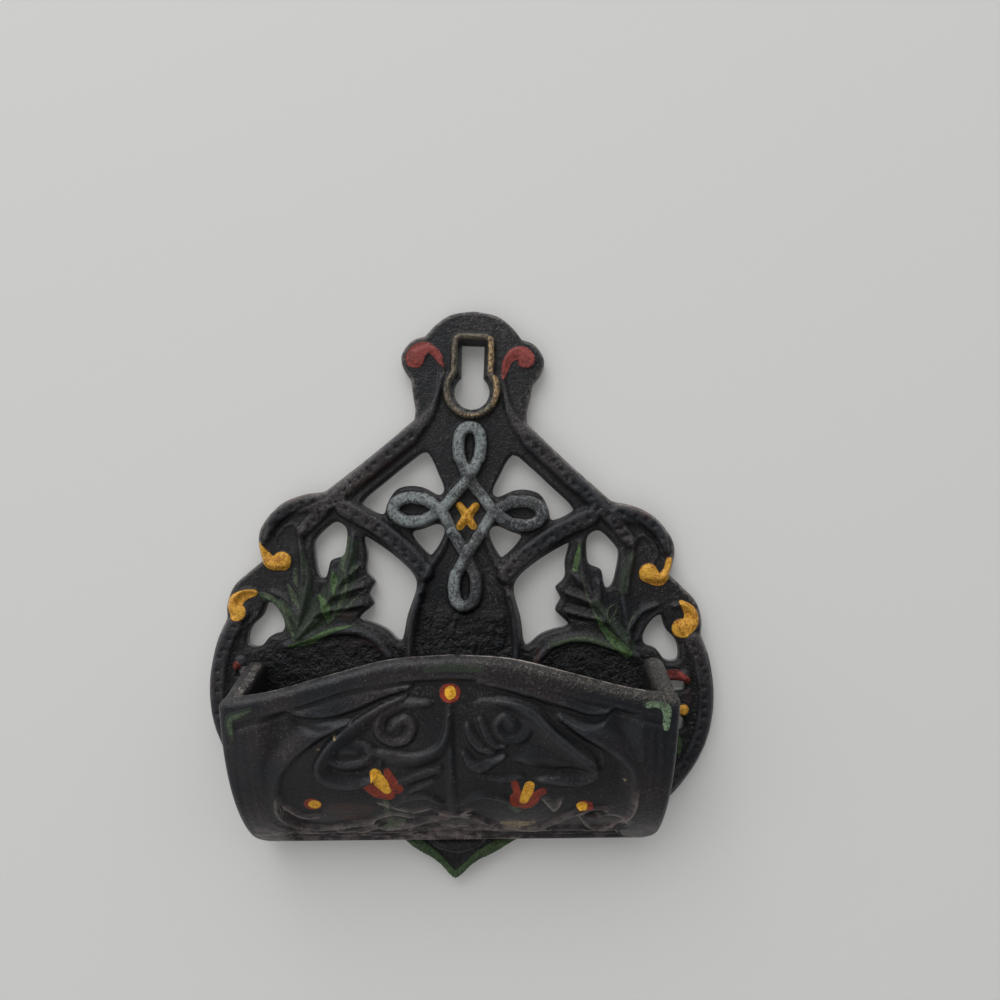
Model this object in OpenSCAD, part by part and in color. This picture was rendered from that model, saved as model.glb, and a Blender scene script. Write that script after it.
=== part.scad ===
// Cast iron wall match holder: a pierced back plate and a riveted match pocket.
// The origin is the centre of the hanging hole on the back face, +Z is up and the front looks along -Y.

/* [Back plate] */
// Width of the plate across its rim
plate_w = 113; // [104:1:122]
// Height of the plate from the cap to the tip
plate_h = 127; // [118:1:136]
// Thickness of the pierced web
web = 3; // [2.5:0.1:4]
// Height of the bands above the web
band_rise = 1.4; // [0.8:0.1:2]
// Width of the band along each arm
arm_band_w = 4.2; // [3:0.1:4.6]
// Width of the bar below each arm
low_bar_w = 4.2; // [3:0.1:4.6]
// Width of the rim band
rim_band_w = 3.8; // [3:0.1:4.4]
// Width of the leaf stems
stem_w = 1.8; // [1.2:0.1:2.4]
// Width of the leaf ribs at the root
leaf_rib_w = 1.3; // [0.9:0.1:1.7]
// Height of the leaves above the web
leaf_rise = 1; // [0.5:0.1:1.3]

/* [Hanging keyhole] */
// Radius of the round hole that passes over a screw head
hole_r = 4; // [3.6:0.1:4.6]
// Width of the slot that drops onto the screw
slot_w = 5; // [4.4:0.1:5.4]
// Height of the slot above the centre of the hole
slot_top = 10.5; // [9:0.5:12]
// Ledge between the keyhole and its bead
bead_ledge = 0.8; // [0.4:0.1:1.2]
// Width of the bead round the keyhole
bead_w = 1.5; // [1:0.1:2]
// Height of the bead above the web
bead_rise = 1.7; // [1.5:0.1:2.4]

/* [Curls] */
// Radius of the eye that ends each curl
eye_r = 1.9; // [1.5:0.1:2.3]
// Width of a curl at its thin end
curl_tip_w = 1; // [0.6:0.1:1.2]
// Height of the curls above the web
curl_rise = 2; // [1.8:0.1:2.6]

/* [Knot] */
// Width of the knotted cord
cord_w = 2.8; // [2.2:0.1:3]
// How much narrower the cord is where it crosses itself
cord_pinch = 0.2; // [0.1:0.1:0.4]
// Height of the cord above the web
cord_rise = 1.9; // [1.5:0.1:2.4]
// Extra height of the strand that passes over
cord_over = 0.6; // [0.3:0.1:0.9]

/* [Pocket] */
// Width across the end walls at the rim
pocket_w = 92; // [84:1:94]
// Width across the end walls at the bottom
pocket_foot_w = 87.2; // [80:0.4:90]
// Height from the bottom to the corners of the rim
pocket_h = 35.7; // [30:0.1:40]
// Depth from the web to the front of the rim
pocket_depth = 19; // [15:0.5:24]
// Rise of the arched rim above its corners
rim_rise = 8.1; // [4:0.1:12]
// Slope of the rim, up towards the plate
rim_slope = 15; // [5:1:20]
// Thickness of the pocket's front and bottom
wall = 3; // [2.4:0.1:3.6]
// Thickness of the pocket's end walls
end_wall = 4.2; // [3:0.1:5]
// Distance from the hanging hole down to the pocket's bottom
pocket_drop = 100; // [97:0.5:102]
// Turn of the pocket on the plate
pocket_turn = 2.5; // [0:0.5:4]
// Radius of the pocket's bottom corners
foot_r = 4; // [2:0.5:6]
// Depth of the carved ground on the pocket's front
carve = 0.9; // [0.5:0.1:1.2]
// Height of the plain border above the carving
border_h = 4.5; // [3.5:0.5:8]
// Width of the plain strips beside the carving
border_w = 8.5; // [6:0.5:11]
// Width of the carved scrolls
scroll_w = 2.2; // [1.6:0.1:2.8]
// Gap between the pocket and the raised bands
seat_gap = 0.4; // [0.2:0.1:0.8]

/* [Rivets] */
// Radius of a rivet's shank
shank_r = 1.6; // [1.2:0.1:2]
// Radius of a rivet's round head
head_r = 3; // [2.6:0.1:3.4]
// Height of a rivet's round head
head_h = 1.7; // [1.2:0.1:2.2]
// Radius of the hammered end in the back of the plate
tail_r = 2.6; // [2.3:0.1:3.2]
// Depth of the hammered end
tail_h = 1.2; // [0.8:0.1:1.6]
// Clearance round a rivet
rivet_gap = 0.1; // [0.05:0.05:0.2]
// Thickness of the pocket's lugs
lug_t = 2.6; // [2:0.1:3.4]
// Radius of a lug's round end
lug_r = 4.2; // [3.6:0.1:5]
// Distance from an end wall to the rivet's centre
lug_reach = 5; // [4.4:0.1:7]
// Height of the rivets above the pocket's bottom
rivet_up = 14; // [11:0.5:18]

/* [Hidden] */
$fn = 64;
spans = 4;
cap_steps = 6;
past = 1;

// Share of a raised line's height by which it is rooted in the web, and the power by which a curl swells
rooted = 0.6;
swell = 3;
// Share of its width to which a rib, scroll or arm band narrows
narrowing = 0.7;

// Right half of the outline, from the top of the cap to the tip: one smooth run between two corners
cap_edge = [[0, 18], [5, 17.1], [8.4, 14.8], [10.8, 12]];
ear_edge = [[10.8, 12], [13.8, 10.9], [16, 7.6], [15.4, 4.4], [13.6, 2]];
neck_edge = [[13.6, 2], [13.2, -1], [12.5, -4.5], [12.7, -6.8]];
arm_edge = [[12.7, -6.8], [21.8, -15], [32.2, -23.6]];
shoulder_edge = [[32.2, -23.6], [37, -24.4], [42, -26.8], [46, -31.6], [46.6, -35.6], [45.5, -39.5]];
scroll_edge = [[45.5, -39.5], [48.4, -42], [51.8, -45.4], [53.2, -49.6], [53, -52.6]];
rim_edge = [[53, -52.6], [55.2, -58], [56.5, -66.5], [55.6, -75], [52.4, -82.5], [46.6, -90], [38, -96.4],
    [26, -98.4]];
tip_edge = [[26, -98.4], [17, -98.9], [12.9, -100.2], [9, -102.7], [5.4, -104.6], [3.2, -106.2], [1.4, -108.2],
    [0, -109]];
tip_inner_edge = [[12, -97.4], [7, -100.4], [3.6, -102.9], [1.7, -104.9], [0, -106.2]];

// The drawing's own width and height, which are stretched to the plate's
drawn_w = 2 * max([for (q = rim_edge) q.x]);
drawn_h = cap_edge[0].y - tip_edge[len(tip_edge) - 1].y;

// Openings of the right half
arm_gap = [[9.6, -13.9], [13.4, -16.2], [18.5, -20.6], [23.4, -25], [22.8, -26.6], [19, -28.2], [18, -25.6],
    [16.2, -22.6], [13.2, -21.6], [10, -21.9], [6.6, -23.5], [5.4, -22.2], [6.6, -19.2]];
cord_gap = [[12.2, -32.3], [9.6, -31.1], [6.6, -29.9], [5, -31], [5.4, -33], [7.2, -36.2], [8.6, -36.6]];
shoulder_gap = [[29.8, -30.2], [28.2, -30.5], [27, -31.6], [26.8, -34], [27.2, -37.2], [27.9, -38], [29.9, -38.6],
    [30.5, -39.3], [31, -42.2], [31.8, -43.1], [32.8, -42.6], [33.6, -40.4], [34.3, -35.4], [33.9, -34], [32, -31.9]];
leaf_gap = [[23, -33.4], [21.2, -34], [16, -37.4], [11.8, -41.2], [10.9, -44.4], [12.7, -50.6], [13.5, -55.6],
    [14.6, -56.4], [17, -54.2], [20, -52.8], [23.5, -51.5], [20.4, -48.4], [21.5, -45.8], [20.3, -43.3],
    [22.3, -41], [22.2, -37.2]];
scroll_gap = [[44.2, -48.6], [42, -49.8], [40.2, -53], [40.6, -55.3], [43.2, -56.2], [45.4, -58.8], [48.4, -58.4],
    [48, -54.6], [45.4, -51.8]];
// Slots beside the rim: the inner end's middle and the width of each, and where their outer ends lie
side_gaps = [[46.8, -64.3, 2.2], [47, -72.6, 3.4]];
side_gap_end = 50.3;

// Raised lines of the right half, along their middles
arm_line = [[13.4, -10.6], [22.4, -18.5], [28.9, -24.3], [36.8, -32.4]];
low_bar_line = [[27.4, -27], [19.8, -31], [13.8, -35.6], [9, -40.6]];
shoulder_line = [[33.6, -26.2], [38.6, -27], [42.8, -30], [44.5, -34.2]];
rim_line = [[50.8, -53.6], [52.8, -58.6], [54.1, -66.5], [53.2, -74.6], [50, -81.6], [44.6, -88.2]];
column_line = [[9.6, -45], [11.1, -50.4], [11.8, -56], [11.8, -64]];
stem_line = [[39.4, -58], [34, -56.2], [28.4, -54.6], [23.6, -54.6], [19.4, -56.4], [16.4, -59.8]];
neck_line = [[6.7, 3], [7.6, -1], [9.2, -5.4], [13.4, -10.6]];
leaf_lines = [
    [[37.2, -56.4], [32.6, -50.6], [28.4, -45], [25.8, -39], [25.2, -32.8]],
    [[37, -55], [35.8, -48.6], [35, -42.6], [36.6, -36.4]],
    [[32.6, -50.6], [27.6, -49.4], [22.8, -48.4]],
    [[29.8, -47], [26, -45.4], [22.6, -44.2]],
    [[27.4, -43], [25.4, -41.4], [23.8, -39.8]],
    [[29.8, -47], [30, -44], [29.4, -41.4]],
    [[36.6, -52], [39.4, -48], [43, -46.2]]
];

// Curls of the right half: the last point of each is its eye
ear_curl = [[6.6, 3.8], [7.4, 7], [9.6, 9.2], [12.3, 7.1]];
shoulder_curl = [[45.6, -35.6], [45, -38.4], [43.4, -40.2], [40.8, -39.2]];
scroll_curl = [[46.7, -46.4], [48.7, -46], [51, -47.6], [51.4, -50], [49.7, -51.1]];
berries = [[49.4, -61.8], [49.2, -69.4]];
berry_r = 1.4;

// The cord: legs run from one loop through two crossings to the next, bends close the loops
top_leg = [[2.2, -14.6], [0, -19.4], [-3, -23.2], [-6, -26.8], [-10, -29.3]];
low_leg = [[2.2, -41.4], [0, -36.8], [-3, -31.8], [-6, -26.8], [-10, -24.4]];
top_bend = [[2.2, -15], [2.5, -11.6], [1.8, -9], [0, -8.1]];
low_bend = [[2.2, -41], [2.5, -44.2], [1.8, -46.9], [0, -48]];
side_bend = [[9.6, -29.2], [13, -29.6], [15.6, -28.6], [16.5, -26.9], [15.6, -25.2], [13, -24.2], [9.6, -24.5]];
overpasses = [
    [[1.5, -17], [0, -19.4], [-1.7, -21.6]],
    [[4.2, -24.6], [6, -26.8], [8.2, -28.7]],
    [[1.3, -34.7], [0, -36.8], [-1.3, -39.2]],
    [[-4.4, -29.5], [-6, -26.8], [-8.1, -25]]
];
knot_cross = [[1.8, -25.4], [-1.7, -29.8]];
knot_cross_w = 1.4;

// Arch of the rim, from its middle to a corner, in shares of the half width and of the rise
arch_shape = [[0, 1], [0.26, 0.9], [0.52, 0.55], [0.78, 0.17], [1, 0]];
bow = 2.5;
roll = 0.8;
bow_steps = 18;

// Scrolls carved on the right half of the pocket, measured from the middle of its bottom
scroll_lines = [
    [[8.6, 36], [14.6, 35.8], [21, 31.4], [27, 25.6], [29.4, 20.4], [26, 17.6], [20.4, 18.6]],
    [[25.4, 31], [30.8, 27.6], [35.4, 22.4], [36.6, 16.6], [34.6, 9.6]],
    [[6.8, 32.4], [11.6, 33.4], [15.2, 30.4], [13.6, 26.6], [10, 27.6]],
    [[2.8, 25], [5.4, 22.4], [9.4, 23.4], [13.4, 23]],
    [[3, 8], [6.4, 13.2], [12.4, 14.4], [17.4, 12.6]],
    [[12, 7.4], [19.4, 9.4], [25.4, 13.4], [31.4, 13.6]]
];
stalk_line = [[0, 35], [0, 28], [0, 18], [0, 7]];

lobe_r = 8.2;
lobe_up = 5.4;

// Derived sizes
plate_front = web + max(band_rise, leaf_rise, bead_rise, curl_rise, cord_rise + cord_over);
bead_out = bead_ledge + bead_w;
rim_front = web + pocket_depth;
foot_taper = (pocket_w - pocket_foot_w) / 2 / pocket_h;
rivet_x = half_width(rivet_up) - end_wall - lug_reach;

// Half the width of the pocket at a height above its bottom
function half_width(up) = pocket_foot_w / 2 + foot_taper * up;

// Drawn points stretched to the plate's own width and height
function fit(p) = [for (q = p) [q.x * plate_w / drawn_w, q.y * plate_h / drawn_h]];

// A smooth curve through points: one span, an open run without its last point, a whole run and a closed loop
function span(a, b, c, d, t) = b + t / 2 * (c - a + t * (2 * a - 5 * b + 4 * c - d + t * (3 * (b - c) + d - a)));
function before(p, i) = i > 0 ? p[i - 1] : 2 * p[0] - p[1];
function after(p, i) = i < len(p) ? p[i] : 2 * p[i - 1] - p[i - 2];
function run(p) = [for (i = [0 : len(p) - 2], k = [0 : spans - 1])
    span(before(p, i), p[i], p[i + 1], after(p, i + 2), k / spans)];
function whole(p) = concat(run(p), [p[len(p) - 1]]);
function loop(p) = let (n = len(p)) [for (i = [0 : n - 1], k = [0 : spans - 1])
    span(p[(i + n - 1) % n], p[i], p[(i + 1) % n], p[(i + 2) % n], k / spans)];
function reversed(p) = [for (i = [len(p) - 1 : -1 : 0]) p[i]];
function across(p) = concat(p, [for (q = reversed(p)) if (q.x > 0) [-q.x, q.y]]);

// A strip of changing width along a curve, with round ends
function turned(v, a) = [v.x * cos(a) - v.y * sin(a), v.x * sin(a) + v.y * cos(a)];
function left_of(c, i) = let (d = c[min(i + 1, len(c) - 1)] - c[max(i - 1, 0)]) [-d.y, d.x] / norm(d);
function beside(c, w0, w1, power, s) = let (m = len(c) - 1)
    [for (i = [0 : m]) c[i] + s / 2 * (w0 + (w1 - w0) * pow(i / m, power)) * left_of(c, i)];
function round_end(at, from, w) = [for (k = [1 : cap_steps - 1]) at + w / 2 * turned(from, -180 * k / cap_steps)];
function strip_points(c, w0, w1, power) = let (m = len(c) - 1) concat(
    beside(c, w0, w1, power, 1),
    round_end(c[m], left_of(c, m), w1),
    reversed(beside(c, w0, w1, power, -1)),
    round_end(c[0], -left_of(c, 0), w0));

module strip(p, w0, w1, power = 1) {
    polygon(strip_points(whole(p), w0, w1, power));
}

module both() {
    children();
    mirror([1, 0, 0]) children();
}

// Drawings lie flat, with their backs on the wall; this stands them up
module stand() {
    rotate([90, 0, 0]) children();
}

// A flat drawing raised on the web
module raised(rise) {
    translate([0, 0, web - rooted * rise]) linear_extrude(rise + rooted * rise) children();
}

// The pocket's own place, turned about the middle of its bottom
module at_pocket() {
    translate([0, -pocket_drop, 0]) rotate(pocket_turn) children();
}

module plate_outline() {
    half = concat(run(cap_edge), run(ear_edge), run(neck_edge), run(arm_edge), run(shoulder_edge),
        run(scroll_edge), run(rim_edge), whole(tip_edge));
    polygon(fit(across(half)));
}

module plate_gaps() {
    for (g = [arm_gap, cord_gap, shoulder_gap, leaf_gap, scroll_gap])
        polygon(fit(loop(g)));
    for (g = side_gaps)
        strip(fit([[g.x, g.y], [side_gap_end - g.z / 2, g.y]]), g.z, g.z);
}

module keyhole(grow) {
    steps = grow > 0 ? cap_steps : 0;
    corner = [for (k = [0 : steps]) let (a = 90 * k / max(steps, 1))
        [slot_w / 2 + grow * sin(a), slot_top + grow * cos(a)]];
    circle(hole_r + grow);
    polygon(across(concat(corner, [[slot_w / 2 + grow, 0]])));
}

// Everything that the pocket covers on the plate, and the ring where its walls stand
module pocket_cover(grow) {
    top = pocket_h + rim_rise + pocket_depth * tan(rim_slope);
    polygon(across([[half_width(0) + grow, -grow], [half_width(top) + grow, top]]));
}

module pocket_ring() {
    difference() {
        pocket_cover(seat_gap);
        translate([0, wall + 2 * seat_gap]) pocket_cover(-end_wall - seat_gap);
    }
}

module bands() {
    both() {
        strip(fit(arm_line), arm_band_w, arm_band_w * narrowing);
        strip(fit(low_bar_line), low_bar_w, low_bar_w);
        strip(fit(shoulder_line), low_bar_w, stem_w);
        strip(fit(rim_line), rim_band_w, rim_band_w);
        strip(fit(column_line), stem_w, stem_w);
        strip(fit(neck_line), leaf_rib_w, arm_band_w, swell);
    }
}

module tip_band() {
    polygon(fit(concat(across(whole(tip_edge)), reversed(across(whole(tip_inner_edge))))));
}

module knot() {
    raised(cord_rise) {
        strip(fit(across(top_bend)), cord_w, cord_w);
        strip(fit(across(low_bend)), cord_w, cord_w);
        both() strip(fit(side_bend), cord_w, cord_w);
    }
    raised(cord_rise - cord_pinch) both() {
        strip(fit(top_leg), cord_w - cord_pinch, cord_w - cord_pinch);
        strip(fit(low_leg), cord_w - cord_pinch, cord_w - cord_pinch);
    }
    for (p = overpasses)
        raised(cord_rise + cord_over) strip(fit(p), cord_w - 2 * cord_pinch, cord_w - 2 * cord_pinch);
}

module rivet_places() {
    at_pocket() for (s = [-1, 1])
        translate([s * rivet_x, rivet_up, 0]) children();
}

// The rivet's outside, or its hole when it is grown by the clearance
module rivet_body(grow) {
    cylinder(r = shank_r + grow, h = web + lug_t);
    cylinder(r1 = tail_r + grow, r2 = shank_r + grow, h = tail_h);
}

module rivet() {
    dome_r = (head_r * head_r + head_h * head_h) / (2 * head_h);
    rivet_body(0);
    translate([0, 0, web + lug_t]) intersection() {
        translate([0, 0, head_h - dome_r]) sphere(dome_r);
        cylinder(r = head_r + past, h = head_h + past);
    }
}

module back_plate() {
    color("#2e2e33") stand() difference() {
        union() {
            linear_extrude(web) difference() {
                plate_outline();
                both() plate_gaps();
            }
            raised(band_rise) difference() {
                bands();
                at_pocket() pocket_ring();
            }
            raised(band_rise / 2) difference() {
                union() {
                    tip_band();
                    translate([0, lobe_up - pocket_drop]) circle(lobe_r);
                }
                at_pocket() pocket_cover(seat_gap);
            }
            color("#46603a") raised(leaf_rise) difference() {
                both() {
                    strip(fit(stem_line), stem_w, stem_w);
                    for (p = leaf_lines)
                        strip(fit(p), leaf_rib_w, leaf_rib_w * narrowing);
                }
                at_pocket() pocket_ring();
            }
            color("#8a6d45") raised(bead_rise) keyhole(bead_out);
            color("#c99a33") raised(curl_rise) both()
                for (p = [ear_curl, shoulder_curl, scroll_curl])
                    strip(fit(p), curl_tip_w, 2 * eye_r, swell);
            color("#c99a33") raised(curl_rise / 2) both()
                for (p = fit(berries))
                    translate(p) circle(berry_r);
            color("#c99a33") raised(cord_rise / 2) both()
                strip(fit(knot_cross), knot_cross_w, knot_cross_w);
            color("#68767a") knot();
        }
        translate([0, 0, web]) linear_extrude(plate_front) keyhole(bead_ledge);
        translate([0, 0, -past]) linear_extrude(plate_front + 2 * past) keyhole(0);
        rivet_places() rivet_body(rivet_gap);
    }
}

// Side view of the pocket's front: depth towards the viewer at each step down from the rim's corners
function bow_depth(s) = pocket_depth * pow(1 - pow(s, bow), roll);
function bow_curve() = [for (k = [0 : bow_steps]) let (s = k / bow_steps) [pocket_h * (1 - s), bow_depth(s)]];

// Side view of the space behind the front, moved inwards by an amount
module side_view(inset) {
    top = pocket_h + rim_rise + pocket_depth;
    c = concat([[top, pocket_depth]], bow_curve(), [[0, -past]]);
    polygon(concat([[top, -past]], [for (i = [0 : len(c) - 1]) c[i] + inset * left_of(c, i)]));
}

// A side view stretched across the whole width, with its height along Y and its depth along Z
module swept(inset) {
    translate([pocket_w, 0, web]) rotate([0, -90, 0]) linear_extrude(2 * pocket_w)
        mirror([1, -1, 0]) side_view(inset);
}

// Front view of the pocket with round bottom corners, and of the space between its end walls
module front_view() {
    top = pocket_h + rim_rise + pocket_depth;
    corner = [for (k = [cap_steps : -1 : 0]) let (a = 90 * k / cap_steps)
        [half_width(0) - foot_r + foot_r * cos(a), foot_r - foot_r * sin(a)]];
    polygon(across(concat(corner, [[half_width(top), top]])));
}

module inner_front_view() {
    top = pocket_h + rim_rise + pocket_depth;
    polygon(across([[half_width(0) - end_wall, 0], [half_width(top) - end_wall, top]]));
}

module back_plate_space() {
    translate([-pocket_w, -pocket_h, -pocket_h]) cube([2 * pocket_w, 4 * pocket_h, pocket_h + web]);
}

module rim_cut() {
    half = [for (q = whole(arch_shape)) [q.x * pocket_w / 2, pocket_h + q.y * rim_rise]];
    side = pocket_w;
    translate([0, pocket_h, rim_front]) rotate([rim_slope, 0, 0]) translate([0, -pocket_h, -2 * rim_front])
        linear_extrude(4 * rim_front) polygon(concat(
            reversed(half), [for (q = half) if (q.x > 0) [-q.x, q.y]],
            [[-side, pocket_h], [-side, -pocket_h], [side, -pocket_h], [side, pocket_h]]));
}

module scrolls() {
    both() for (p = scroll_lines)
        strip(p, scroll_w, scroll_w * narrowing);
    strip(stalk_line, scroll_w * narrowing, scroll_w);
}

module carving_ground() {
    half = [for (q = whole(arch_shape))
        [q.x * (pocket_w / 2 - border_w), pocket_h - border_h + q.y * rim_rise]];
    difference() {
        polygon(across(concat(half, [[half_width(0) - border_w, foot_r]])));
        scrolls();
    }
}

module pocket_walls() {
    difference() {
        intersection() {
            linear_extrude(rim_front) front_view();
            swept(0);
        }
        intersection() {
            linear_extrude(rim_front) inner_front_view();
            swept(wall);
        }
        intersection() {
            linear_extrude(rim_front) carving_ground();
            difference() {
                swept(-past);
                swept(carve);
            }
        }
    }
}

module lugs() {
    for (s = [-1, 1])
        translate([s * rivet_x, rivet_up, web]) {
            cylinder(r = lug_r, h = lug_t);
            translate([s > 0 ? 0 : -lug_reach - past, -lug_r, 0]) cube([lug_reach + past, 2 * lug_r, lug_t]);
        }
}

module pocket() {
    color("#38383d") stand() difference() {
        at_pocket() difference() {
            union() {
                intersection() {
                    pocket_walls();
                    rim_cut();
                }
                lugs();
            }
            back_plate_space();
        }
        rivet_places() rivet_body(rivet_gap);
    }
}

module left_rivet() {
    color("#4a4542") stand() at_pocket() translate([-rivet_x, rivet_up, 0]) rivet();
}

module right_rivet() {
    color("#4a4542") stand() at_pocket() translate([rivet_x, rivet_up, 0]) rivet();
}

back_plate();
pocket();
left_rivet();
right_rivet();
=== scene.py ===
import math

import bmesh
import bpy
import numpy as np
from mathutils import Matrix, Vector
from mathutils.bvhtree import BVHTree
from mathutils.geometry import delaunay_2d_cdt
from mathutils.kdtree import KDTree


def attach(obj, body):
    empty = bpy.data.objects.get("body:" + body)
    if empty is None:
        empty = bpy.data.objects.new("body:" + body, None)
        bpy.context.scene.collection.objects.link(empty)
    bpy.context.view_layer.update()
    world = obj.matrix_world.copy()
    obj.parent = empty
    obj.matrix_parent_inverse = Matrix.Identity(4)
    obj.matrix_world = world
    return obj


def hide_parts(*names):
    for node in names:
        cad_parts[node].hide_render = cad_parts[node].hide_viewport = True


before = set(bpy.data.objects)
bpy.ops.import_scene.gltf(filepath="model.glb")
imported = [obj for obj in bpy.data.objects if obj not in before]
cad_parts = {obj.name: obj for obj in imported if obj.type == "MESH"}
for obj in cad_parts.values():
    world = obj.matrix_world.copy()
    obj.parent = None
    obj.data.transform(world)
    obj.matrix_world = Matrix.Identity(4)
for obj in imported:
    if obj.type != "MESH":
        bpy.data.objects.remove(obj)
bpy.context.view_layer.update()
mm = 0.001
farOut = -2.0  # the depth, in mm, of a point well outside every stroke
print("frame loaded:", sorted(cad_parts))


# Drawing maths: flat points are x across and up the plate in mm, heights are mm towards the viewer

def smoothRun(points, step=0.4):  # a Catmull-Rom curve through the points
    p = np.asarray(points, float)
    q = np.vstack([2 * p[:1] - p[1:2], p, 2 * p[-1:] - p[-2:-1]])
    run = []
    for a, b, c, d in zip(q, q[1:], q[2:], q[3:]):
        count = max(1, round(np.linalg.norm(c - b) / step))
        t = np.arange(count)[:, None] / count
        run.append(b + t / 2 * (c - a + t * (2 * a - 5 * b + 4 * c - d + t * (3 * (b - c) + d - a))))
    return np.vstack(run + [p[-1:]])


# Distance to a line, the share of its length there, and the side of it: 1 on the left
def nearLine(points, line, reach):
    distance, share, side = np.full(len(points), float(reach)), np.zeros(len(points)), np.zeros(len(points))
    close = np.flatnonzero(((points > line.min(0) - reach) & (points < line.max(0) + reach)).all(1))
    p, best, where, hand = points[close], distance[close], share[close], side[close]
    lengths = np.linalg.norm(np.diff(line, axis=0), axis=1)
    starts = np.concatenate([[0], np.cumsum(lengths)])
    for a, b, length, start in zip(line, line[1:], lengths, starts):
        t = np.clip((p - a) @ (b - a) / length ** 2, 0, 1)
        d = np.linalg.norm(p - a - t[:, None] * (b - a), axis=1)
        closer = d < best
        best[closer] = d[closer]
        where[closer] = (start + t[closer] * length) / starts[-1]
        hand[closer] = np.sign((p[closer] - a) @ np.array([a[1] - b[1], b[0] - a[0]]))
    distance[close], share[close], side[close] = best, where, hand
    return distance, share, side


# Depth inside a stroke, below 0 outside, and half its width; a stroke may lean to a side
def stroke(points, line, widths, lean=0.0):
    run = smoothRun(line) if len(line) > 1 else np.array([line[0], np.add(line[0], (0.01, 0))])
    distance, share, side = nearLine(points, run, max(widths) - farOut)
    half = np.interp(share, np.linspace(0, 1, len(widths)), widths) / 2 * (1 + lean * side)
    return half - distance, half


def nearestSide(points, lines, reach):  # distance to the nearest of several lines, below 0 on its right
    nearest = np.full(len(points), float(reach))
    for line in lines:
        distance, _, side = nearLine(points, smoothRun(line), reach)
        nearest = np.where(distance < abs(nearest), np.where(side < 0, -distance, distance), nearest)
    return nearest


def strokes(points, rows):  # the deepest of several strokes
    field = np.full(len(points), farOut)
    for line, widths in rows:
        field = np.maximum(field, stroke(points, line, widths)[0])
    return field


def flipped(line):
    return [(-x, y) for x, y in line]


def dome(t):  # a quarter-round shoulder: 0 at the edge, 1 from one radius inwards
    return np.sqrt(1 - (1 - np.clip(t, 0, 1)) ** 2)


def soft(t):  # an even rise from 0 to 1
    t = np.clip(t, 0, 1)
    return t * t * (3 - 2 * t)


def meshEdges(faces):
    sides = np.vstack([faces[:, [k, (k + 1) % faces.shape[1]]] for k in range(faces.shape[1])])
    return np.unique(np.sort(sides, axis=1), axis=0)


def meanOfNeighbours(values, edges):
    a, b = edges.T
    count = np.bincount(np.concatenate([a, b]), minlength=len(values))
    columns = values.reshape(len(values), -1).T
    total = [np.bincount(a, c[b], len(values)) + np.bincount(b, c[a], len(values)) for c in columns]
    return (np.array(total) / np.maximum(count, 1)).T.reshape(values.shape)


def relaxed(values, edges, passes):
    for _ in range(passes):
        values = (values + meanOfNeighbours(values, edges)) / 2
    return values


def newPiece(name, points, faces):  # a closed mesh object from mm points, its faces turned outwards
    mesh = bpy.data.meshes.new(name)
    mesh.from_pydata((points * mm).tolist(), [], faces.tolist())
    shell = bmesh.new()
    shell.from_mesh(mesh)
    bmesh.ops.recalc_face_normals(shell, faces=shell.faces)
    shell.to_mesh(mesh)
    shell.free()
    mesh.shade_smooth()
    piece = bpy.data.objects.new(name, mesh)
    bpy.context.scene.collection.objects.link(piece)
    return piece


def setMarks(piece, marks):  # named numbers on a mesh's points, which the finishes read
    for key, values in marks.items():
        mark = piece.data.attributes.new(key, "FLOAT", "POINT")
        mark.data.foreach_set("value", values.astype(np.float32))


def crests(piece):  # above 0 on crests, below 0 in creases, in mm of bend; the finishes paint highlights and chipping on crests and shade in creases
    mesh = piece.data
    points, normals = np.empty(3 * len(mesh.vertices)), np.empty(3 * len(mesh.vertices))
    edges = np.empty(2 * len(mesh.edges), int)
    mesh.vertices.foreach_get("co", points)
    mesh.vertices.foreach_get("normal", normals)
    mesh.edges.foreach_get("vertices", edges)
    points, normals, edges = points.reshape(-1, 3) / mm, normals.reshape(-1, 3), edges.reshape(-1, 2)
    bend = ((points - meanOfNeighbours(points, edges)) * normals).sum(1)
    return np.clip(relaxed(bend, edges, 2), -0.08, 0.05)


# Node graphs: a wire is a socket that takes part in sums, and a graph adds every other node by its type

class Wire:
    def __init__(self, graph, socket):
        self.graph, self.socket = graph, socket

    def sum(self, operation, *terms):
        return self.graph.add("ShaderNodeMath", {"operation": operation}, dict(enumerate(terms)))

    def __add__(self, other):
        return self.sum("ADD", self, other)

    def __radd__(self, other):
        return self.sum("ADD", other, self)

    def __sub__(self, other):
        return self.sum("SUBTRACT", self, other)

    def __rsub__(self, other):
        return self.sum("SUBTRACT", other, self)

    def __mul__(self, other):
        return self.sum("MULTIPLY", self, other)

    def __rmul__(self, other):
        return self.sum("MULTIPLY", other, self)

    def step(self, low, high):  # 0 at low, 1 at high, smooth between
        return self.graph.add("ShaderNodeMapRange", {"interpolation_type": "SMOOTHSTEP"},
                              {"Value": self, "From Min": low, "From Max": high})


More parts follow.
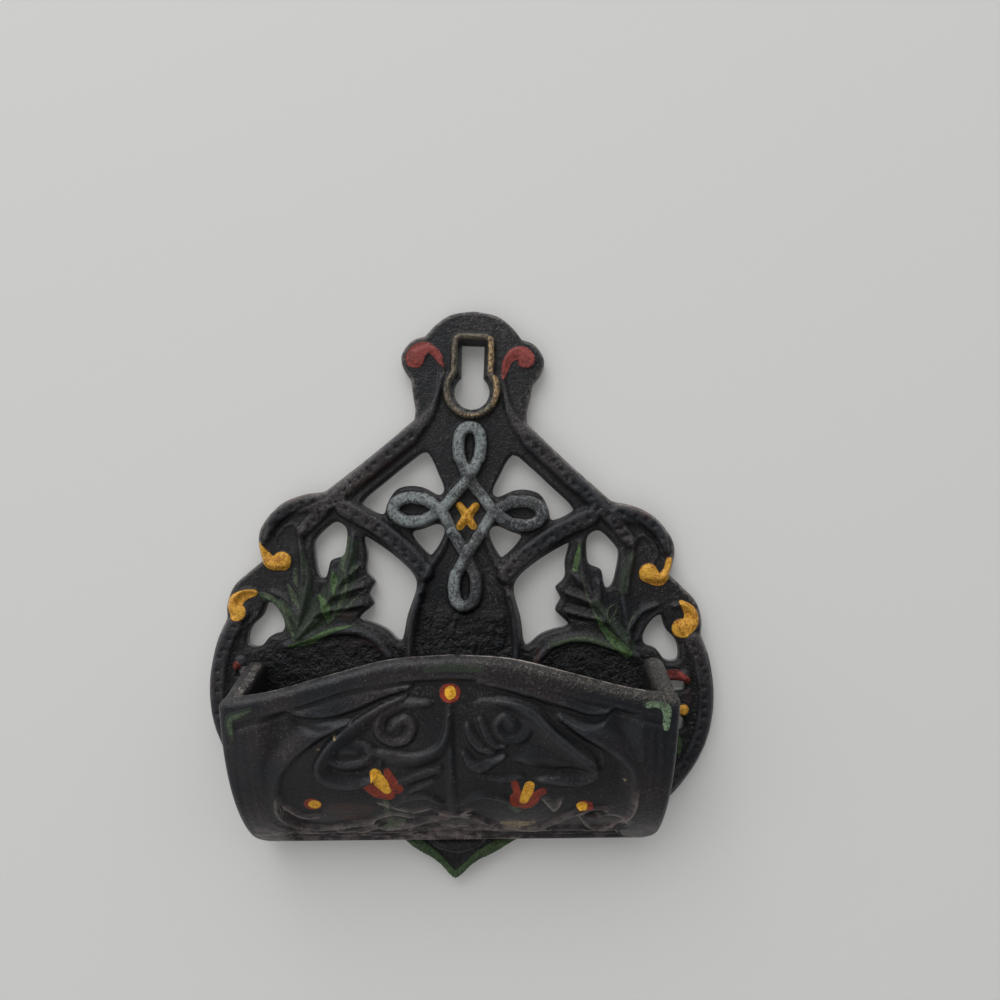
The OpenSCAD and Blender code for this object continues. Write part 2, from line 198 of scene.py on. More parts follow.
class Graph:
    def __init__(self, tree):
        self.tree = tree
        tree.nodes.clear()

    def node(self, kind, settings=None, sockets=None):
        made = self.tree.nodes.new(kind)
        for key, value in (settings or {}).items():
            setattr(made, key, value)
        for key, value in (sockets or {}).items():
            if isinstance(value, Wire):
                self.tree.links.new(value.socket, made.inputs[key])
            else:
                made.inputs[key].default_value = value
        return made

    def add(self, kind, settings=None, sockets=None, out=0):
        return Wire(self, self.node(kind, settings, sockets).outputs[out])

    def blend(self, share, first, second):  # from the first colour to the second
        ends = [(*c, 1) if isinstance(c, tuple) else c for c in (first, second)]
        return self.add("ShaderNodeMix", {"data_type": "RGBA"}, {0: share, 6: ends[0], 7: ends[1]}, 2)

    def mark(self, name):
        return self.add("ShaderNodeAttribute", {"attribute_name": name}, None, "Fac")

    def place(self, stretch=(1, 1, 1)):
        spot = self.add("ShaderNodeTexCoord", None, None, "Object")
        return self.add("ShaderNodeMapping", None, {
            "Vector": spot, "Location": (0.0137, 0.0411, 0.0293), "Scale": stretch})

    def noise(self, size, detail=3.0, rough=0.55, stretch=(1, 1, 1)):  # size of a cloud in mm
        return self.add("ShaderNodeTexNoise", None, {
            "Vector": self.place(stretch), "Scale": 1 / (size * mm),
            "Detail": detail, "Roughness": rough}, "Fac")

    def specks(self, size, radius, share):  # small round dots in some of the cells
        sockets = {"Vector": self.place(), "Scale": 1 / (size * mm)}
        cells = self.node("ShaderNodeTexVoronoi", None, sockets)
        chance = self.add("ShaderNodeSeparateColor", None, {0: Wire(self, cells.outputs["Color"])})
        near = 1 - Wire(self, cells.outputs["Distance"]).step(radius * 0.6, radius)
        return near * chance.step(1 - share, 1 - share + 0.01)


# Back plate: the relief is drawn up from the CAD front, then carved, hammered and painted

plate = {
    "spacing": 0.42,  # between points of the front, mm
    "edgeStep": 0.4,  # between points along an edge
    "cornerTurn": 0.6,  # a sharper turn stays a corner, radians
    "backSpacing": 3.0,
    "edgeRound": (0.8, 0.9),  # width and drop of the worn outer edges
    "keyholeBevel": (0.35, 1.6),
    "rivetNarrowing": 0.63,  # the front of a rivet hole as a share of its countersunk back
    "rivetHole": (6.5, -80.0),  # its edge is no wider than this, and lower than this
    "keyhole": (20.0, 7.0),  # its edge is no wider than this, and this near the origin
    "softening": 1, "leafSoftening": 9,
    # shoulder radius for each rise of the CAD relief above the web
    "shoulders": {0.7: 0.5, 0.95: 0.4, 1.0: 0.65, 1.4: 1.0, 1.7: 0.45, 1.9: 0.5, 2.0: 0.6, 2.5: 0.5},
    "leaves": 1.0, "bands": 1.4, "cord": 1.7,  # rises of the leaves, the arms' bands and the cord
    "bandFade": 0.7,  # how much of a band is lost where it fades
    "bandEnd": (36.8, -32.4), "bandEndReach": (6.5, 5.0),  # its lower end, and the radius and softness there
    "bandNeck": (-10.0, 7.0),  # where it fades up the neck, and over what height
    "cordBox": (19.0, -50.0, -6.6), "beadBox": (6.7, -6.6, 14.0),  # half width, bottom and top
    "beadMargin": 0.5,  # between the bead's paint and the hole
    "curls": 2.0, "curlHeight": 0.5, "earHeight": 0.15,  # their rise, and what the curls and ears keep of it
    "earsAbove": -5.0,
    "roughColumn": (10.5, -47.0), "roughBelow": -54.0,  # coarse iron: half width and top, and the low ground
    "rubbedAbove": -60.0, "rubbed": 0.6,
    "fullLift": 1.2,  # relief that counts as fully raised, mm
    "edgeWear": (0.25, 0.5), "edgeWearEnd": -56.0,  # of the outline and its fall per mm, and where it ends
    "keyholeShade": 1.0, "openingShade": 0.5,  # darker walls
}

# Lines cut or raised on each half of the plate: points, widths along them, and the rise
plateCarving = [
    ([(33.4, -25.6), (38.4, -28.4), (42, -32), (44.2, -35)], [0.5, 1.1, 0.6], -0.45),  # volute groove
    ([(35.4, -33.6), (39.4, -31), (42.6, -34.4), (41.4, -37.6)], [0.6, 1.2, 1.4, 0.8], 0.35),  # inner volute
    # the arm's end, run into a stalk
    ([(36.4, -32), (37, -34.6), (36.6, -38.4), (36, -44)], [2.6, 2, 1.6, 1], 0.8),
    ([(3.6, -31), (5.4, -35.4), (8, -40), (9.8, -45)], [1.2, 2.4, 2.8, 2.4], 0.75),  # column's shoulders
    ([(10, -45), (11, -50.4), (11.6, -56), (11.6, -64)], [2, 3, 3.4, 3.4], 0.5),
    ([(1.4, -50), (2.6, -54), (2, -59), (2.6, -64)], [0.6, 1.2, 1, 1.2], 0.25),  # column's flutes
    ([(6, -48), (7.2, -53), (7, -58), (7.4, -63)], [0.6, 0.8, 0.8], -0.25),
    ([(36.6, -56), (31.4, -49.6), (27.6, -44), (25.6, -37)], [2, 6.4, 5.2, 2.4], 0.45),  # leaf blades
    ([(37, -54), (36.2, -48), (36, -42)], [2, 4.4, 2.4], 0.3),
    ([(38.6, -54.4), (41, -50.6), (43.4, -48)], [1.6, 3, 1.6], 0.3),
    ([(30.6, -50.6), (27, -50.4), (23.4, -50)], [0.5, 0.9, 0.5], -0.3),  # between the veins
    ([(29.4, -47.6), (26, -47.2), (22.4, -46.2)], [0.5, 0.8, 0.5], -0.3),
    ([(27.4, -44.4), (25, -43.2), (22.6, -41.8)], [0.5, 0.8, 0.5], -0.3),
    ([(34, -53), (32.8, -48.6), (32, -44.4)], [0.5, 1, 0.6], -0.35),
    ([(38.2, -53), (38.6, -48), (39.6, -44)], [0.5, 0.9, 0.5], -0.3),
    ([(32.4, -47.2), (31.5, -48.8), (30.6, -51.4)], [0.5, 2.3, 0.6], 0.3),  # leaflets
    ([(30, -41.2), (29.6, -43.2), (29.2, -46.2)], [0.4, 1.7, 0.5], 0.3),
    ([(25.5, -34.4), (24.9, -38.4), (25.4, -42.4)], [0.5, 1.9, 0.5], 0.3),
    ([(38.4, -54.6), (39.4, -51.6), (40.4, -48.6)], [0.6, 2, 0.7], 0.3),
    ([(13, -13.4), (20, -19.6), (27, -25.8)], [0.5, 0.9, 0.5], -0.3),  # line inside the arm's band
]

# Brush strokes on the plate, by colour: points and widths along them
platePaint = {
    "yellow": [
        ([(-46, -35.6), (-45, -38), (-43.3, -39.7), (-41, -39.3)], [0.8, 2.4, 3.2, 4.4]),
        ([(-47, -46.6), (-49.2, -47.2), (-51.2, -49), (-50.4, -50.9)], [1.8, 2.6, 3.4, 4]),
        ([(45.3, -36.2), (44.8, -38.8), (43.2, -40.6), (40.8, -39.3)], [1.4, 2, 3, 4.4]),
        ([(48.3, -45.6), (50.3, -47.6), (50.3, -50), (48.4, -51.4)], [1.3, 2.8, 3.4, 4.2]),
        ([(-1.8, -25.6), (-0.1, -27.9), (1.4, -30.2)], [1.7, 2.2, 1.7]),
        ([(1.8, -25.7), (0, -27.9), (-1.6, -30.3)], [1.9, 2.2, 1.8]),
        ([(49.4, -69.4)], [2.6]),
    ],
    "red": [
        ([(-12.9, 6.8), (-12.4, 8), (-10.6, 9.2), (-8.4, 8.3), (-6.4, 5.2)], [4.4, 3.8, 2.2, 1.9, 0.6]),
        ([(11.8, 7.6), (11, 8.6), (9.2, 8.5), (7.6, 6.4), (6.9, 2.8)], [4.3, 3.2, 2.2, 1.8, 0.7]),
        ([(-50.2, -63)], [2.2]),
        ([(45.7, -61.7), (47.8, -61.9), (49.8, -62.9)], [1.8, 2.8, 2.2]),
    ],
    "green": [
        ([(-29.5, -41.1), (-29.1, -43.6), (-29, -46.5)], [0.6, 1.7, 0.6]),
        ([(-32.4, -46.9), (-30.9, -48.8), (-30.3, -52.2)], [1, 2.2, 0.9]),
        ([(-38.6, -58.1), (-34.6, -57.2), (-30.7, -55), (-28.5, -54.1), (-24.6, -53.1)],
         [0.8, 1.5, 1.5, 1, 0.4]),
        ([(36.6, -57.3), (34.8, -55.7), (32.5, -53.5), (30.7, -51.3), (29.5, -49.1)],
         [2.2, 2.4, 1.8, 1.3, 0.5]),
        ([(25.2, -33), (24.9, -35.6), (24.3, -39)], [0.5, 1.2, 1.3]),
        ([(-14, -98.4), (-8.4, -101.4), (-4.6, -103.8), (-1.8, -106.4), (0, -107.6), (1.8, -106.4),
          (4.6, -103.8), (8.4, -101.4), (14, -98.4)], [2.4, 2.7, 2.6, 2.2, 1.8, 2.2, 2.6, 2.7, 2.4]),
        ([(48.5, -75.4), (48.8, -77.4), (48.8, -79.2)], [0.8, 1.9, 0.8]),
    ],
    "sage": [
        ([(-45.8, -46.7), (-42.9, -47.8), (-41.1, -50), (-39.3, -53.1), (-37.8, -56)],
         [0.8, 1.7, 1.7, 1.5, 0.8]),
        ([(-40.9, -48), (-38.8, -50.8), (-37.1, -53)], [0.9, 2, 0.9]),
        ([(-39.6, -44.5), (-38.4, -46.8), (-36.9, -49.6)], [0.6, 1.6, 0.8]),
        ([(-38, -41.1), (-37.9, -43.4), (-37.3, -45)], [0.8, 1.3, 0.6]),
        ([(-36.2, -55.6), (-35.3, -54.6), (-33.7, -52.9), (-32.3, -52)], [0.5, 1.1, 1.5, 0.6]),
        ([(-30.2, -52.8), (-28.1, -49.3), (-26.3, -44.1), (-26.7, -40.7)], [0.8, 1.1, 1.1, 0.8]),
        ([(-27.5, -40.7), (-27.2, -37.3), (-26.1, -33.4)], [1, 1.8, 0.6]),
        ([(-25.2, -41.5), (-24.1, -39.9)], [0.9, 0.9]),
        ([(-28, -51), (-24.7, -47.5), (-22, -45.1)], [0.4, 0.6, 0.4]),
        ([(-29.6, -52.4), (-26, -49.2), (-22.6, -47.8)], [0.4, 0.5, 0.3]),
        ([(29.5, -49.6), (27.6, -45.7), (26.4, -42.3), (25.5, -39.5)], [0.8, 0.6, 0.5, 0.4]),
        ([(32.1, -50.7), (31.8, -48.4), (32.9, -46.8), (34, -46.4)], [0.5, 0.5, 0.4, 0.3]),
        ([(32.3, -50.4), (33.7, -48.4), (34, -46.5)], [0.4, 0.5, 0.3]),
        ([(36.4, -52.8), (36.9, -50.5), (38, -48.8), (39.1, -48.2)], [0.4, 0.5, 0.4, 0.3]),
        ([(36.5, -57.1), (31.4, -55.5), (27.9, -54.5), (24, -54.6), (20.6, -55.9), (18.4, -56.8)],
         [0.8, 1, 1.1, 1.2, 1, 0.5]),
    ],
    "wash": [
        ([(-37, -56), (-31, -49.4), (-27.4, -44), (-25.4, -35)], [3, 7, 5.4, 2.4]),
        ([(-36.5, -36.5), (-35.6, -41.6), (-35.6, -46.1), (-36.2, -53), (-36.6, -56.9)],
         [0.8, 2.4, 3, 2.6, 1.8]),
        ([(-38, -55), (-41.4, -50.6), (-45, -47)], [2, 3, 1.6]),
        ([(36.6, -56), (33, -51.4), (29, -46)], [4, 3.6, 2]),
        ([(35, -56), (27, -54.4), (20, -55.8)], [2, 2, 1.4]),
        ([(37, -35.2), (35.7, -39.2), (35, -43.2)], [1.2, 2.2, 2]),
    ],
    "gold": [
        ([(3.9, 11.6), (4.1, 8), (4.1, 4.4)], [1.3, 1.5, 1.2]),
        ([(5.2, 3), (5.7, 0.4), (4.9, -3)], [1.2, 1.5, 1.1]),
        ([(-3.4, -4.6), (-1, -5.7), (2.4, -5.2)], [0.3, 0.6, 0.5]),
    ],
    "pitted": [
        ([(5.6, -26.4), (10, -24.4), (14, -24.4), (16.5, -26.9), (14, -29.5), (10, -29.2), (6.4, -27)],
         [0.8, 1.4, 1.4, 1.4, 1.4, 1.4, 0.8]),
        ([(-2.6, -32.4), (0, -36.6), (2.5, -41), (2.7, -45), (0.8, -48.4)], [0.8, 1.4, 3, 3, 2.4]),
        ([(3, -31.8), (0, -36.8)], [0.8, 1.2]),
        ([(-1.6, -17), (0.4, -19.8), (3.4, -23.6)], [0.8, 1.2, 0.6]),
    ],
    "tipShade": [
        # painted shade inside the tip, under the pocket
        ([(-10, -98.8), (-5.4, -102), (0, -104.7), (5.4, -102), (10, -98.8)], [1.4, 2, 3, 2, 1.4]),
    ],
    "chalk": [
        # under the pocket
        ([(-6.3, -100.1), (-4.4, -101.8), (0.2, -102.8), (4.6, -101.5), (6.4, -99.8)], [0.5, 0.6, 0.5]),
        ([(-10.4, 4.2), (-10, -3)], [0.2, 0.3]),  # scratches on the neck
        ([(-7.7, 4.6), (-8, -2.1), (-9.6, -6.4)], [0.2, 0.3, 0.2]),
        ([(-12.4, 2.5), (-11.5, -4.6)], [0.2, 0.3]),
        ([(7.4, 1.6), (8.1, -4)], [0.2, 0.3]),
    ],
    "rust": [
        ([(-28, -50), (-26.4, -51), (-24.6, -50.8)], [1.2, 2.4, 1]),
        ([(-26, -57.6), (-21.4, -56.6), (-17.4, -59)], [1, 1.4, 0.8]),
        ([(-36.6, -24.4), (-40, -25.8)], [1.4, 1.6]),
        ([(36.4, -24.6), (40.4, -26.4)], [1.6, 1.8]),
        ([(17, -57.6), (16.4, -60)], [1.4, 1.6]),
        ([(-12.6, -12), (-20, -18.4), (-28, -24)], [0.6, 0.8, 0.6]),
        ([(50.4, -65.8), (50.6, -68)], [1.4, 1.6]),
        ([(12.3, -44.6), (12, -48)], [0.6, 0.8]),
    ],
}

# Rows of hammer marks follow these bands of each half
hammeredBands = [
    [(13, -10.4), (22.4, -18.5), (28.9, -24.3), (36, -31.6)],
    [(21.4, -18.9), (28, -24.9), (34.6, -31.2)],
    [(26.6, -27.4), (19.8, -31), (13.8, -35.6), (9.6, -40)],
    [(25, -29.4), (19.2, -32.2), (13.6, -36.8)],
    [(34.4, -26.2), (39.4, -27.6), (43, -31)],
    [(50.9, -54.4), (52.9, -59), (54.1, -66.5), (53.2, -74.6), (50, -81.6), (45, -87.8)],
]
hammer = {"Spacing": 2.4 * mm, "Jitter": 0.55 * mm, "Reach": 0.8 * mm, "Depth": 0.42 * mm, "Seed": 11}


def cadShape(node):  # a CAD node's points in mm, and its triangles
    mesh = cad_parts[node].data
    mesh.calc_loop_triangles()
    points, faces = np.empty(3 * len(mesh.vertices)), np.empty(3 * len(mesh.loop_triangles), int)
    mesh.vertices.foreach_get("co", points)
    mesh.loop_triangles.foreach_get("vertices", faces)
    return points.reshape(-1, 3) / mm, faces.reshape(-1, 3)


def openEdges(flat, faces):  # the edges that only one face has, in that face's direction
    places, index = np.unique(np.round(flat, 3), axis=0, return_inverse=True)
    index = index.ravel()
    sides = np.vstack([index[faces[:, [a, b]]] for a, b in ((0, 1), (1, 2), (2, 0))])
    _, first, count = np.unique(np.sort(sides, axis=1), axis=0, return_index=True, return_counts=True)
    return places, sides[first[count == 1]]


def edgeLoops(flat, faces):
    places, edges = openEdges(flat, faces)
    after, loops = dict(edges.tolist()), []
    while after:
        start, at = after.popitem()
        loop = [start]
        while at != start:
            loop.append(at)
            at = after.pop(at)
        loops.append(places[loop])
    return loops


def evenLoop(loop):  # even steps along a loop, its facets smoothed and its corners kept
    sides = np.roll(loop, -1, 0) - loop
    heading = np.arctan2(sides[:, 1], sides[:, 0])
    turn = (heading - np.roll(heading, 1) + np.pi) % (2 * np.pi) - np.pi
    corners = np.flatnonzero(abs(turn) > plate["cornerTurn"])
    pins = corners if len(corners) else np.array([0])
    runs, fixed = [], []
    for a, b in zip(pins, np.roll(pins, -1)):
        p = loop[np.arange(a, b + 1 if b > a else b + len(loop) + 1) % len(loop)]
        reach = np.concatenate([[0], np.cumsum(np.linalg.norm(np.diff(p, axis=0), axis=1))])
        at = np.linspace(0, reach[-1], max(2, round(reach[-1] / plate["edgeStep"])) + 1)[:-1]
        runs.append(np.column_stack([np.interp(at, reach, p[:, k]) for k in (0, 1)]))
        fixed += [len(corners) > 0] + [False] * (len(at) - 1)
    even, fixed = np.vstack(runs), np.array(fixed)
    for _ in range(3):
        smoothed = even / 2 + (np.roll(even, 1, 0) + np.roll(even, -1, 0)) / 4
        even = np.where(fixed[:, None], even, smoothed)
    return even


def pieceDistance(points, ends):  # distance to the nearest of many short straight pieces
    tree = KDTree(len(ends))
    for k, (a, b) in enumerate(ends):
        tree.insert((*(a + b) / 2, 0), k)
    tree.balance()
    nearest = np.array([tree.find((x, y, 0))[1] for x, y in points], int)
    a, b = ends[nearest, 0], ends[nearest, 1]
    along = b - a
    t = np.clip(((points - a) * along).sum(1) / np.maximum((along ** 2).sum(1), 1e-12), 0, 1)
    return np.linalg.norm(points - a - t[:, None] * along, axis=1)


def shortPieces(starts, ends, step=0.3):
    rows = []
    for a, b in zip(starts, ends):
        count = max(1, math.ceil(np.linalg.norm(b - a) / step))
        cuts = a + (b - a) * np.linspace(0, 1, count + 1)[:, None]
        rows.append(np.stack([cuts[:-1], cuts[1:]], axis=1))
    return np.vstack(rows)


def loopPieces(loop):
    return np.stack([loop, np.roll(loop, -1, 0)], axis=1)


def triangulated(loops, inner):  # flat triangles between the loops, through the inner points
    corners, edges = [], []
    for loop in loops:
        first = len(corners)
        corners += loop.tolist()
        edges += [(first + k, first + (k + 1) % len(loop)) for k in range(len(loop))]
    corners += inner.tolist()
    made = delaunay_2d_cdt([Vector(c) for c in corners], edges, [], 1, 1e-7)
    order = np.array([origin[0] for origin in made[3]])
    corners, faces = np.array(corners), order[np.array(made[2])]
    return corners, faces[insideLoops(corners[faces].mean(1), loops)]


def insideLoops(points, loops):  # true within an odd number of loops
    odd = np.zeros(len(points), bool)
    for loop in loops:
        close = np.flatnonzero(((points > loop.min(0)) & (points < loop.max(0))).all(1))
        x, y = points[close].T
        for (ax, ay), (bx, by) in zip(loop, np.roll(loop, -1, 0)):
            crossed = (ay > y) != (by > y)
            odd[close[crossed]] ^= x[crossed] < ax + (y[crossed] - ay) * (bx - ax) / (by - ay)
    return odd


def hexGrid(loops, spacing):
    low, high = np.vstack(loops).min(0), np.vstack(loops).max(0)
    xs, ys = np.arange(low[0], high[0], spacing), np.arange(low[1], high[1], spacing * 0.866)
    grid = np.stack(np.meshgrid(xs, ys), axis=-1)
    grid[1::2, :, 0] += spacing / 2
    return grid.reshape(-1, 2)


def inBox(flat, box):  # true within half a width of the middle, and between a bottom and a top
    half, bottom, top = box
    return (abs(flat[:, 0]) < half) & (flat[:, 1] > bottom) & (flat[:, 1] < top)


def plateRelief(points, faces, casting, flat, level):  # the web's thickness, and the relief at flat points
    heights, places = -points[:, 1], points[:, [0, 2]]
    a, b, c = (points[faces[:, k]] for k in range(3))
    normal = np.cross(b - a, c - a)
    front = faces[normal[:, 1] < -0.99 * np.linalg.norm(normal, axis=1)]
    top = heights[front].mean(1)
    web = min(t for t in np.unique(top.round(2)) if t > 1)
    relief, leafy, inCord, inBead = (np.full(len(flat), v) for v in (0.0, 0.0, farOut, farOut))
    for rise, radius in plate["shoulders"].items():
        floor = web + rise - 0.02
        ends, sides = openEdges(places, front[top > floor])
        pieces = shortPieces(ends[sides[:, 0]], ends[sides[:, 1]])
        along = pieces[:, 1] - pieces[:, 0]
        aside = 0.04 * np.column_stack([-along[:, 1], along[:, 0]]) / np.linalg.norm(along, axis=1)[:, None]
        onLeft, onRight = (casting(pieces.mean(1) + s * aside) > floor for s in (1, -1))
        distance = pieceDistance(flat, pieces[onLeft != onRight])
        inside = level > floor
        shape = np.where(inside, rise * dome(distance / radius), 0)
        if rise == plate["bands"]:  # the arms' bands fade out at their lower ends and up the neck
            endX, endY = plate["bandEnd"]
            near, blur = plate["bandEndReach"]
            neck, run = plate["bandNeck"]
            gap = np.hypot(abs(flat[:, 0]) - endX, flat[:, 1] - endY)
            shape *= 1 - plate["bandFade"] * soft((near - gap) / blur)
            shape *= 1 - plate["bandFade"] * soft((flat[:, 1] - neck) / run)
        if rise == plate["leaves"]:  # with the stems
            leafy = np.where(level < floor + 0.1, shape, 0)
        else:
            relief = np.maximum(relief, shape)
        if rise == plate["cord"]:  # the bead stands as high
            depth = np.where(inside, distance, -distance)
            inCord = np.where(inBox(flat, plate["cordBox"]), depth, farOut)
            inBead = np.where(inBox(flat, plate["beadBox"]), depth, farOut)
    curled = abs(level - web - plate["curls"]) < 0.05
    kept = np.where(flat[:, 1] > plate["earsAbove"], plate["earHeight"], plate["curlHeight"])
    relief *= np.where(curled, kept, 1)
    return web, relief, leafy, inCord, inBead


def buildPlate():
    points, faces = cadShape("back_plate")
    tree = BVHTree.FromPolygons(points.tolist(), faces.tolist())

    def casting(flat):  # the CAD front's height at flat points, 0 where it is open
        hits = [tree.ray_cast((x, -60, y), (0, 1, 0), 59.5)[0] for x, y in flat]
        return np.array([-h.y if h else 0.0 for h in hits])

    flush = faces[(abs(points[faces, 1]) < 0.01).all(1)]
    loops = [evenLoop(loop) for loop in edgeLoops(points[:, [0, 2]], flush)]
    spans = [np.ptp(loop, axis=0).max() for loop in loops]
    middles = [loop.mean(0) for loop in loops]
    span, top = plate["rivetHole"]
    rivetHoles = [k for k, (x, y) in enumerate(middles) if spans[k] < span and y < top]
    span, reach = plate["keyhole"]
    keyhole = [k for k, (x, y) in enumerate(middles) if spans[k] < span and math.hypot(x, y) < reach][0]
    frontLoops = [loop.mean(0) + (loop - loop.mean(0)) * (plate["rivetNarrowing"] if k in rivetHoles else 1)
                  for k, loop in enumerate(loops)]
    rims = [loopPieces(loop) for loop in frontLoops]

    grid = hexGrid(loops, plate["spacing"])
    grid = grid[casting(grid) > 0]
    grid = grid[pieceDistance(grid, np.vstack(rims)) > 0.7 * plate["spacing"]]
    flat, frontFaces = triangulated(frontLoops, grid)
    rimCount = sum(map(len, loops))
    level = casting(flat)
    level[:rimCount] = 0
    web, relief, leafy, inCord, inBead = plateRelief(points, faces, casting, flat, level)
    edges = meshEdges(frontFaces)
    relief = relaxed(relief, edges, plate["softening"])
    relief = np.maximum(relief, relaxed(leafy, edges, plate["leafSoftening"]))
    for line, widths, rise in plateCarving:
        for line in (line, flipped(line)):
            depth, half = stroke(flat, line, widths)
            relief += rise * soft(depth / half) * (level > 0)
    plain = np.vstack([rim for k, rim in enumerate(rims) if k != keyhole and k not in rivetHoles])
    height = web + relief
    for edge, (width, drop) in ((plain, plate["edgeRound"]), (rims[keyhole], plate["keyholeBevel"])):
        height -= drop * (1 - dome(pieceDistance(flat, edge) / width))

    inBead = np.minimum(inBead, pieceDistance(flat, rims[keyhole]) - plate["beadMargin"])
    backGrid = hexGrid(loops, plate["backSpacing"])
    backGrid = backGrid[casting(backGrid) > 0]
    backGrid = backGrid[pieceDistance(backGrid, np.vstack([loopPieces(loop) for loop in loops])) > 1]
    backFlat, backFaces = triangulated(loops, backGrid)
    front = np.column_stack([flat[:, 0], -height, flat[:, 1]])
    back = np.column_stack([backFlat[:, 0], 0 * backFlat[:, 0], backFlat[:, 1]])
    here, shift = np.arange(rimCount), len(flat)
    rings = np.split(here, np.cumsum([len(loop) for loop in loops])[:-1])
    there = np.concatenate([np.roll(ring, -1) for ring in rings])
    walls = np.column_stack([here, there, there + shift, here + shift])
    walls = np.vstack([walls[:, [0, 1, 2]], walls[:, [0, 2, 3]]])
    skin = np.vstack([frontFaces, walls, backFaces + shift])
    piece = newPiece("pierced_plate", np.vstack([front, back]), skin)

    blank = np.full(len(back), farOut)
    marks = {colour: strokes(flat, rows) for colour, rows in platePaint.items()}
    marks.update(cord=inCord, bead=inBead)
    setMarks(piece, {key: np.concatenate([values, blank]) for key, values in marks.items()})
    x, y = flat.T
    half, top = plate["roughColumn"]
    column = soft((half - abs(x)) / 2) * soft((top - y) / 4)
    coarse = np.maximum(column, soft((plate["roughBelow"] - y) / 4) * soft((0.4 - relief) / 0.3))
    # more dust and chipping towards the top
    high = soft((y - plate["rubbedAbove"]) / 60) * plate["rubbed"]
    lift = np.clip(relief / plate["fullLift"], 0, 1)
    lift[:rimCount] = 0
    for key, values in (("coarse", coarse), ("rubAndGlow", high), ("lift", lift)):
        setMarks(piece, {key: np.concatenate([values, 0 * blank])})
    outer = int(np.argmax(spans))
    wear, fall = plate["edgeWear"]
    wearAndHighlight = wear - fall * pieceDistance(flat, rims[outer]) - soft((plate["edgeWearEnd"] - y) / 8)
    setMarks(piece, {"wearAndHighlight": np.concatenate([wearAndHighlight, blank])})
    shades = {keyhole: plate["keyholeShade"], outer: 0.0}
    walled = [np.full(len(loop), shades.get(k, plate["openingShade"])) for k, loop in enumerate(loops)]
    walled = np.concatenate(walled)
    within = np.concatenate([walled, 0 * x[rimCount:], walled, 0 * blank[rimCount:]])
    setMarks(piece, {"within": within})
    print("plate:", len(piece.data.vertices), "points,", len(piece.data.polygons), "faces")
    return piece


def newTree(name, sockets):  # an empty tree that gives out a mesh, its graph, and wires from its named inputs
    tree = bpy.data.node_groups.new(name, "GeometryNodeTree")
    g = Graph(tree)
    tree.interface.new_socket("Geometry", in_out="OUTPUT", socket_type="NodeSocketGeometry")
    for key, kind in sockets.items():
        tree.interface.new_socket(key, in_out="INPUT", socket_type="NodeSocket" + kind)
    outputs = g.node("NodeGroupInput").outputs
    return tree, g, {socket.name: Wire(g, socket) for socket in outputs if socket.name}


def closeTree(g, shape, material):
    plain = g.add("GeometryNodeRealizeInstances", None, {0: shape})
    finished = g.add("GeometryNodeSetMaterial", None, {"Geometry": plain, "Material": material})
    g.node("NodeGroupOutput", None, {0: finished})


def hammerTree():  # dents along paths, in whatever mesh the modifier is on
    tree, g, given = newTree("hammerMarks", {
        "Geometry": "Geometry", "Paths": "Object", "Spacing": "Float", "Jitter": "Float", "Reach": "Float",
        "Depth": "Float", "Seed": "Int", "Material": "Material"})
    paths = g.add("GeometryNodeObjectInfo", None, {"Object": given["Paths"]}, "Geometry")
    dots = g.add("GeometryNodeCurveToPoints", {"mode": "LENGTH"},
                 {"Curve": paths, "Length": given["Spacing"]})
    stray = g.add("FunctionNodeRandomValue", {"data_type": "FLOAT_VECTOR"},
                  {0: (-1, 0, -1), 1: (1, 0, 1), "Seed": given["Seed"]})
    stray = g.add("ShaderNodeVectorMath", {"operation": "SCALE"}, {0: stray, "Scale": given["Jitter"]})
    dots = g.add("GeometryNodeSetPosition", None, {"Geometry": dots, "Offset": stray})
    spot = g.node("ShaderNodeSeparateXYZ", None, {0: g.add("GeometryNodeInputPosition")})
    level = g.add("ShaderNodeCombineXYZ", None, {0: Wire(g, spot.outputs[0]), 2: Wire(g, spot.outputs[2])})
    gap = g.add("GeometryNodeProximity", {"target_element": "POINTS"},
                {0: dots, "Sample Position": level}, "Distance")
    dent = g.add("ShaderNodeMapRange", {"interpolation_type": "SMOOTHERSTEP"}, {
        "Value": gap, "From Min": 0.0, "From Max": given["Reach"],
        "To Min": given["Depth"], "To Max": 0.0})
    metal = (0 - Wire(g, spot.outputs[1])).step(2.6 * mm, 3.6 * mm)  # 0 on the back and the walls
    inwards = g.add("ShaderNodeCombineXYZ", None, {1: dent * metal})
    dented = g.add("GeometryNodeSetPosition", None, {"Geometry": given["Geometry"], "Offset": inwards})
    closeTree(g, dented, given["Material"])
    return tree


def bandPaths():
    drawing = bpy.data.curves.new("bandPaths", "CURVE")
    drawing.dimensions = "3D"
    for line in hammeredBands + [flipped(line) for line in hammeredBands]:
        run = smoothRun(line, 1.0)
        spline = drawing.splines.new("POLY")
        spline.points.add(len(run) - 1)
        zero = 0 * run[:, 0]
        places = np.column_stack([run[:, 0], zero, run[:, 1], zero + 1 / mm])  # the weight is 1 once scaled
        spline.points.foreach_set("co", places.ravel() * mm)
    paths = bpy.data.objects.new("bandPaths", drawing)
    bpy.context.scene.collection.objects.link(paths)
    return paths


def applyTree(piece, tree, values):  # sets a tree's inputs, then keeps its result as a plain mesh
    modifier = piece.modifiers.new(tree.name, "NODES")
    modifier.node_group = tree
    for item in tree.interface.items_tree:
        if item.in_out == "INPUT" and item.name in values:
            modifier[item.identifier] = values[item.name]
    graph = bpy.context.evaluated_depsgraph_get()
    made = piece.evaluated_get(graph)
    mesh = bpy.data.meshes.new_from_object(made, preserve_all_data_layers=True, depsgraph=graph)
    piece.modifiers.remove(modifier)
    piece.data = mesh
    return piece


# Pocket: a bowed front, two end walls and a rolled bottom, as one shell with its front carved

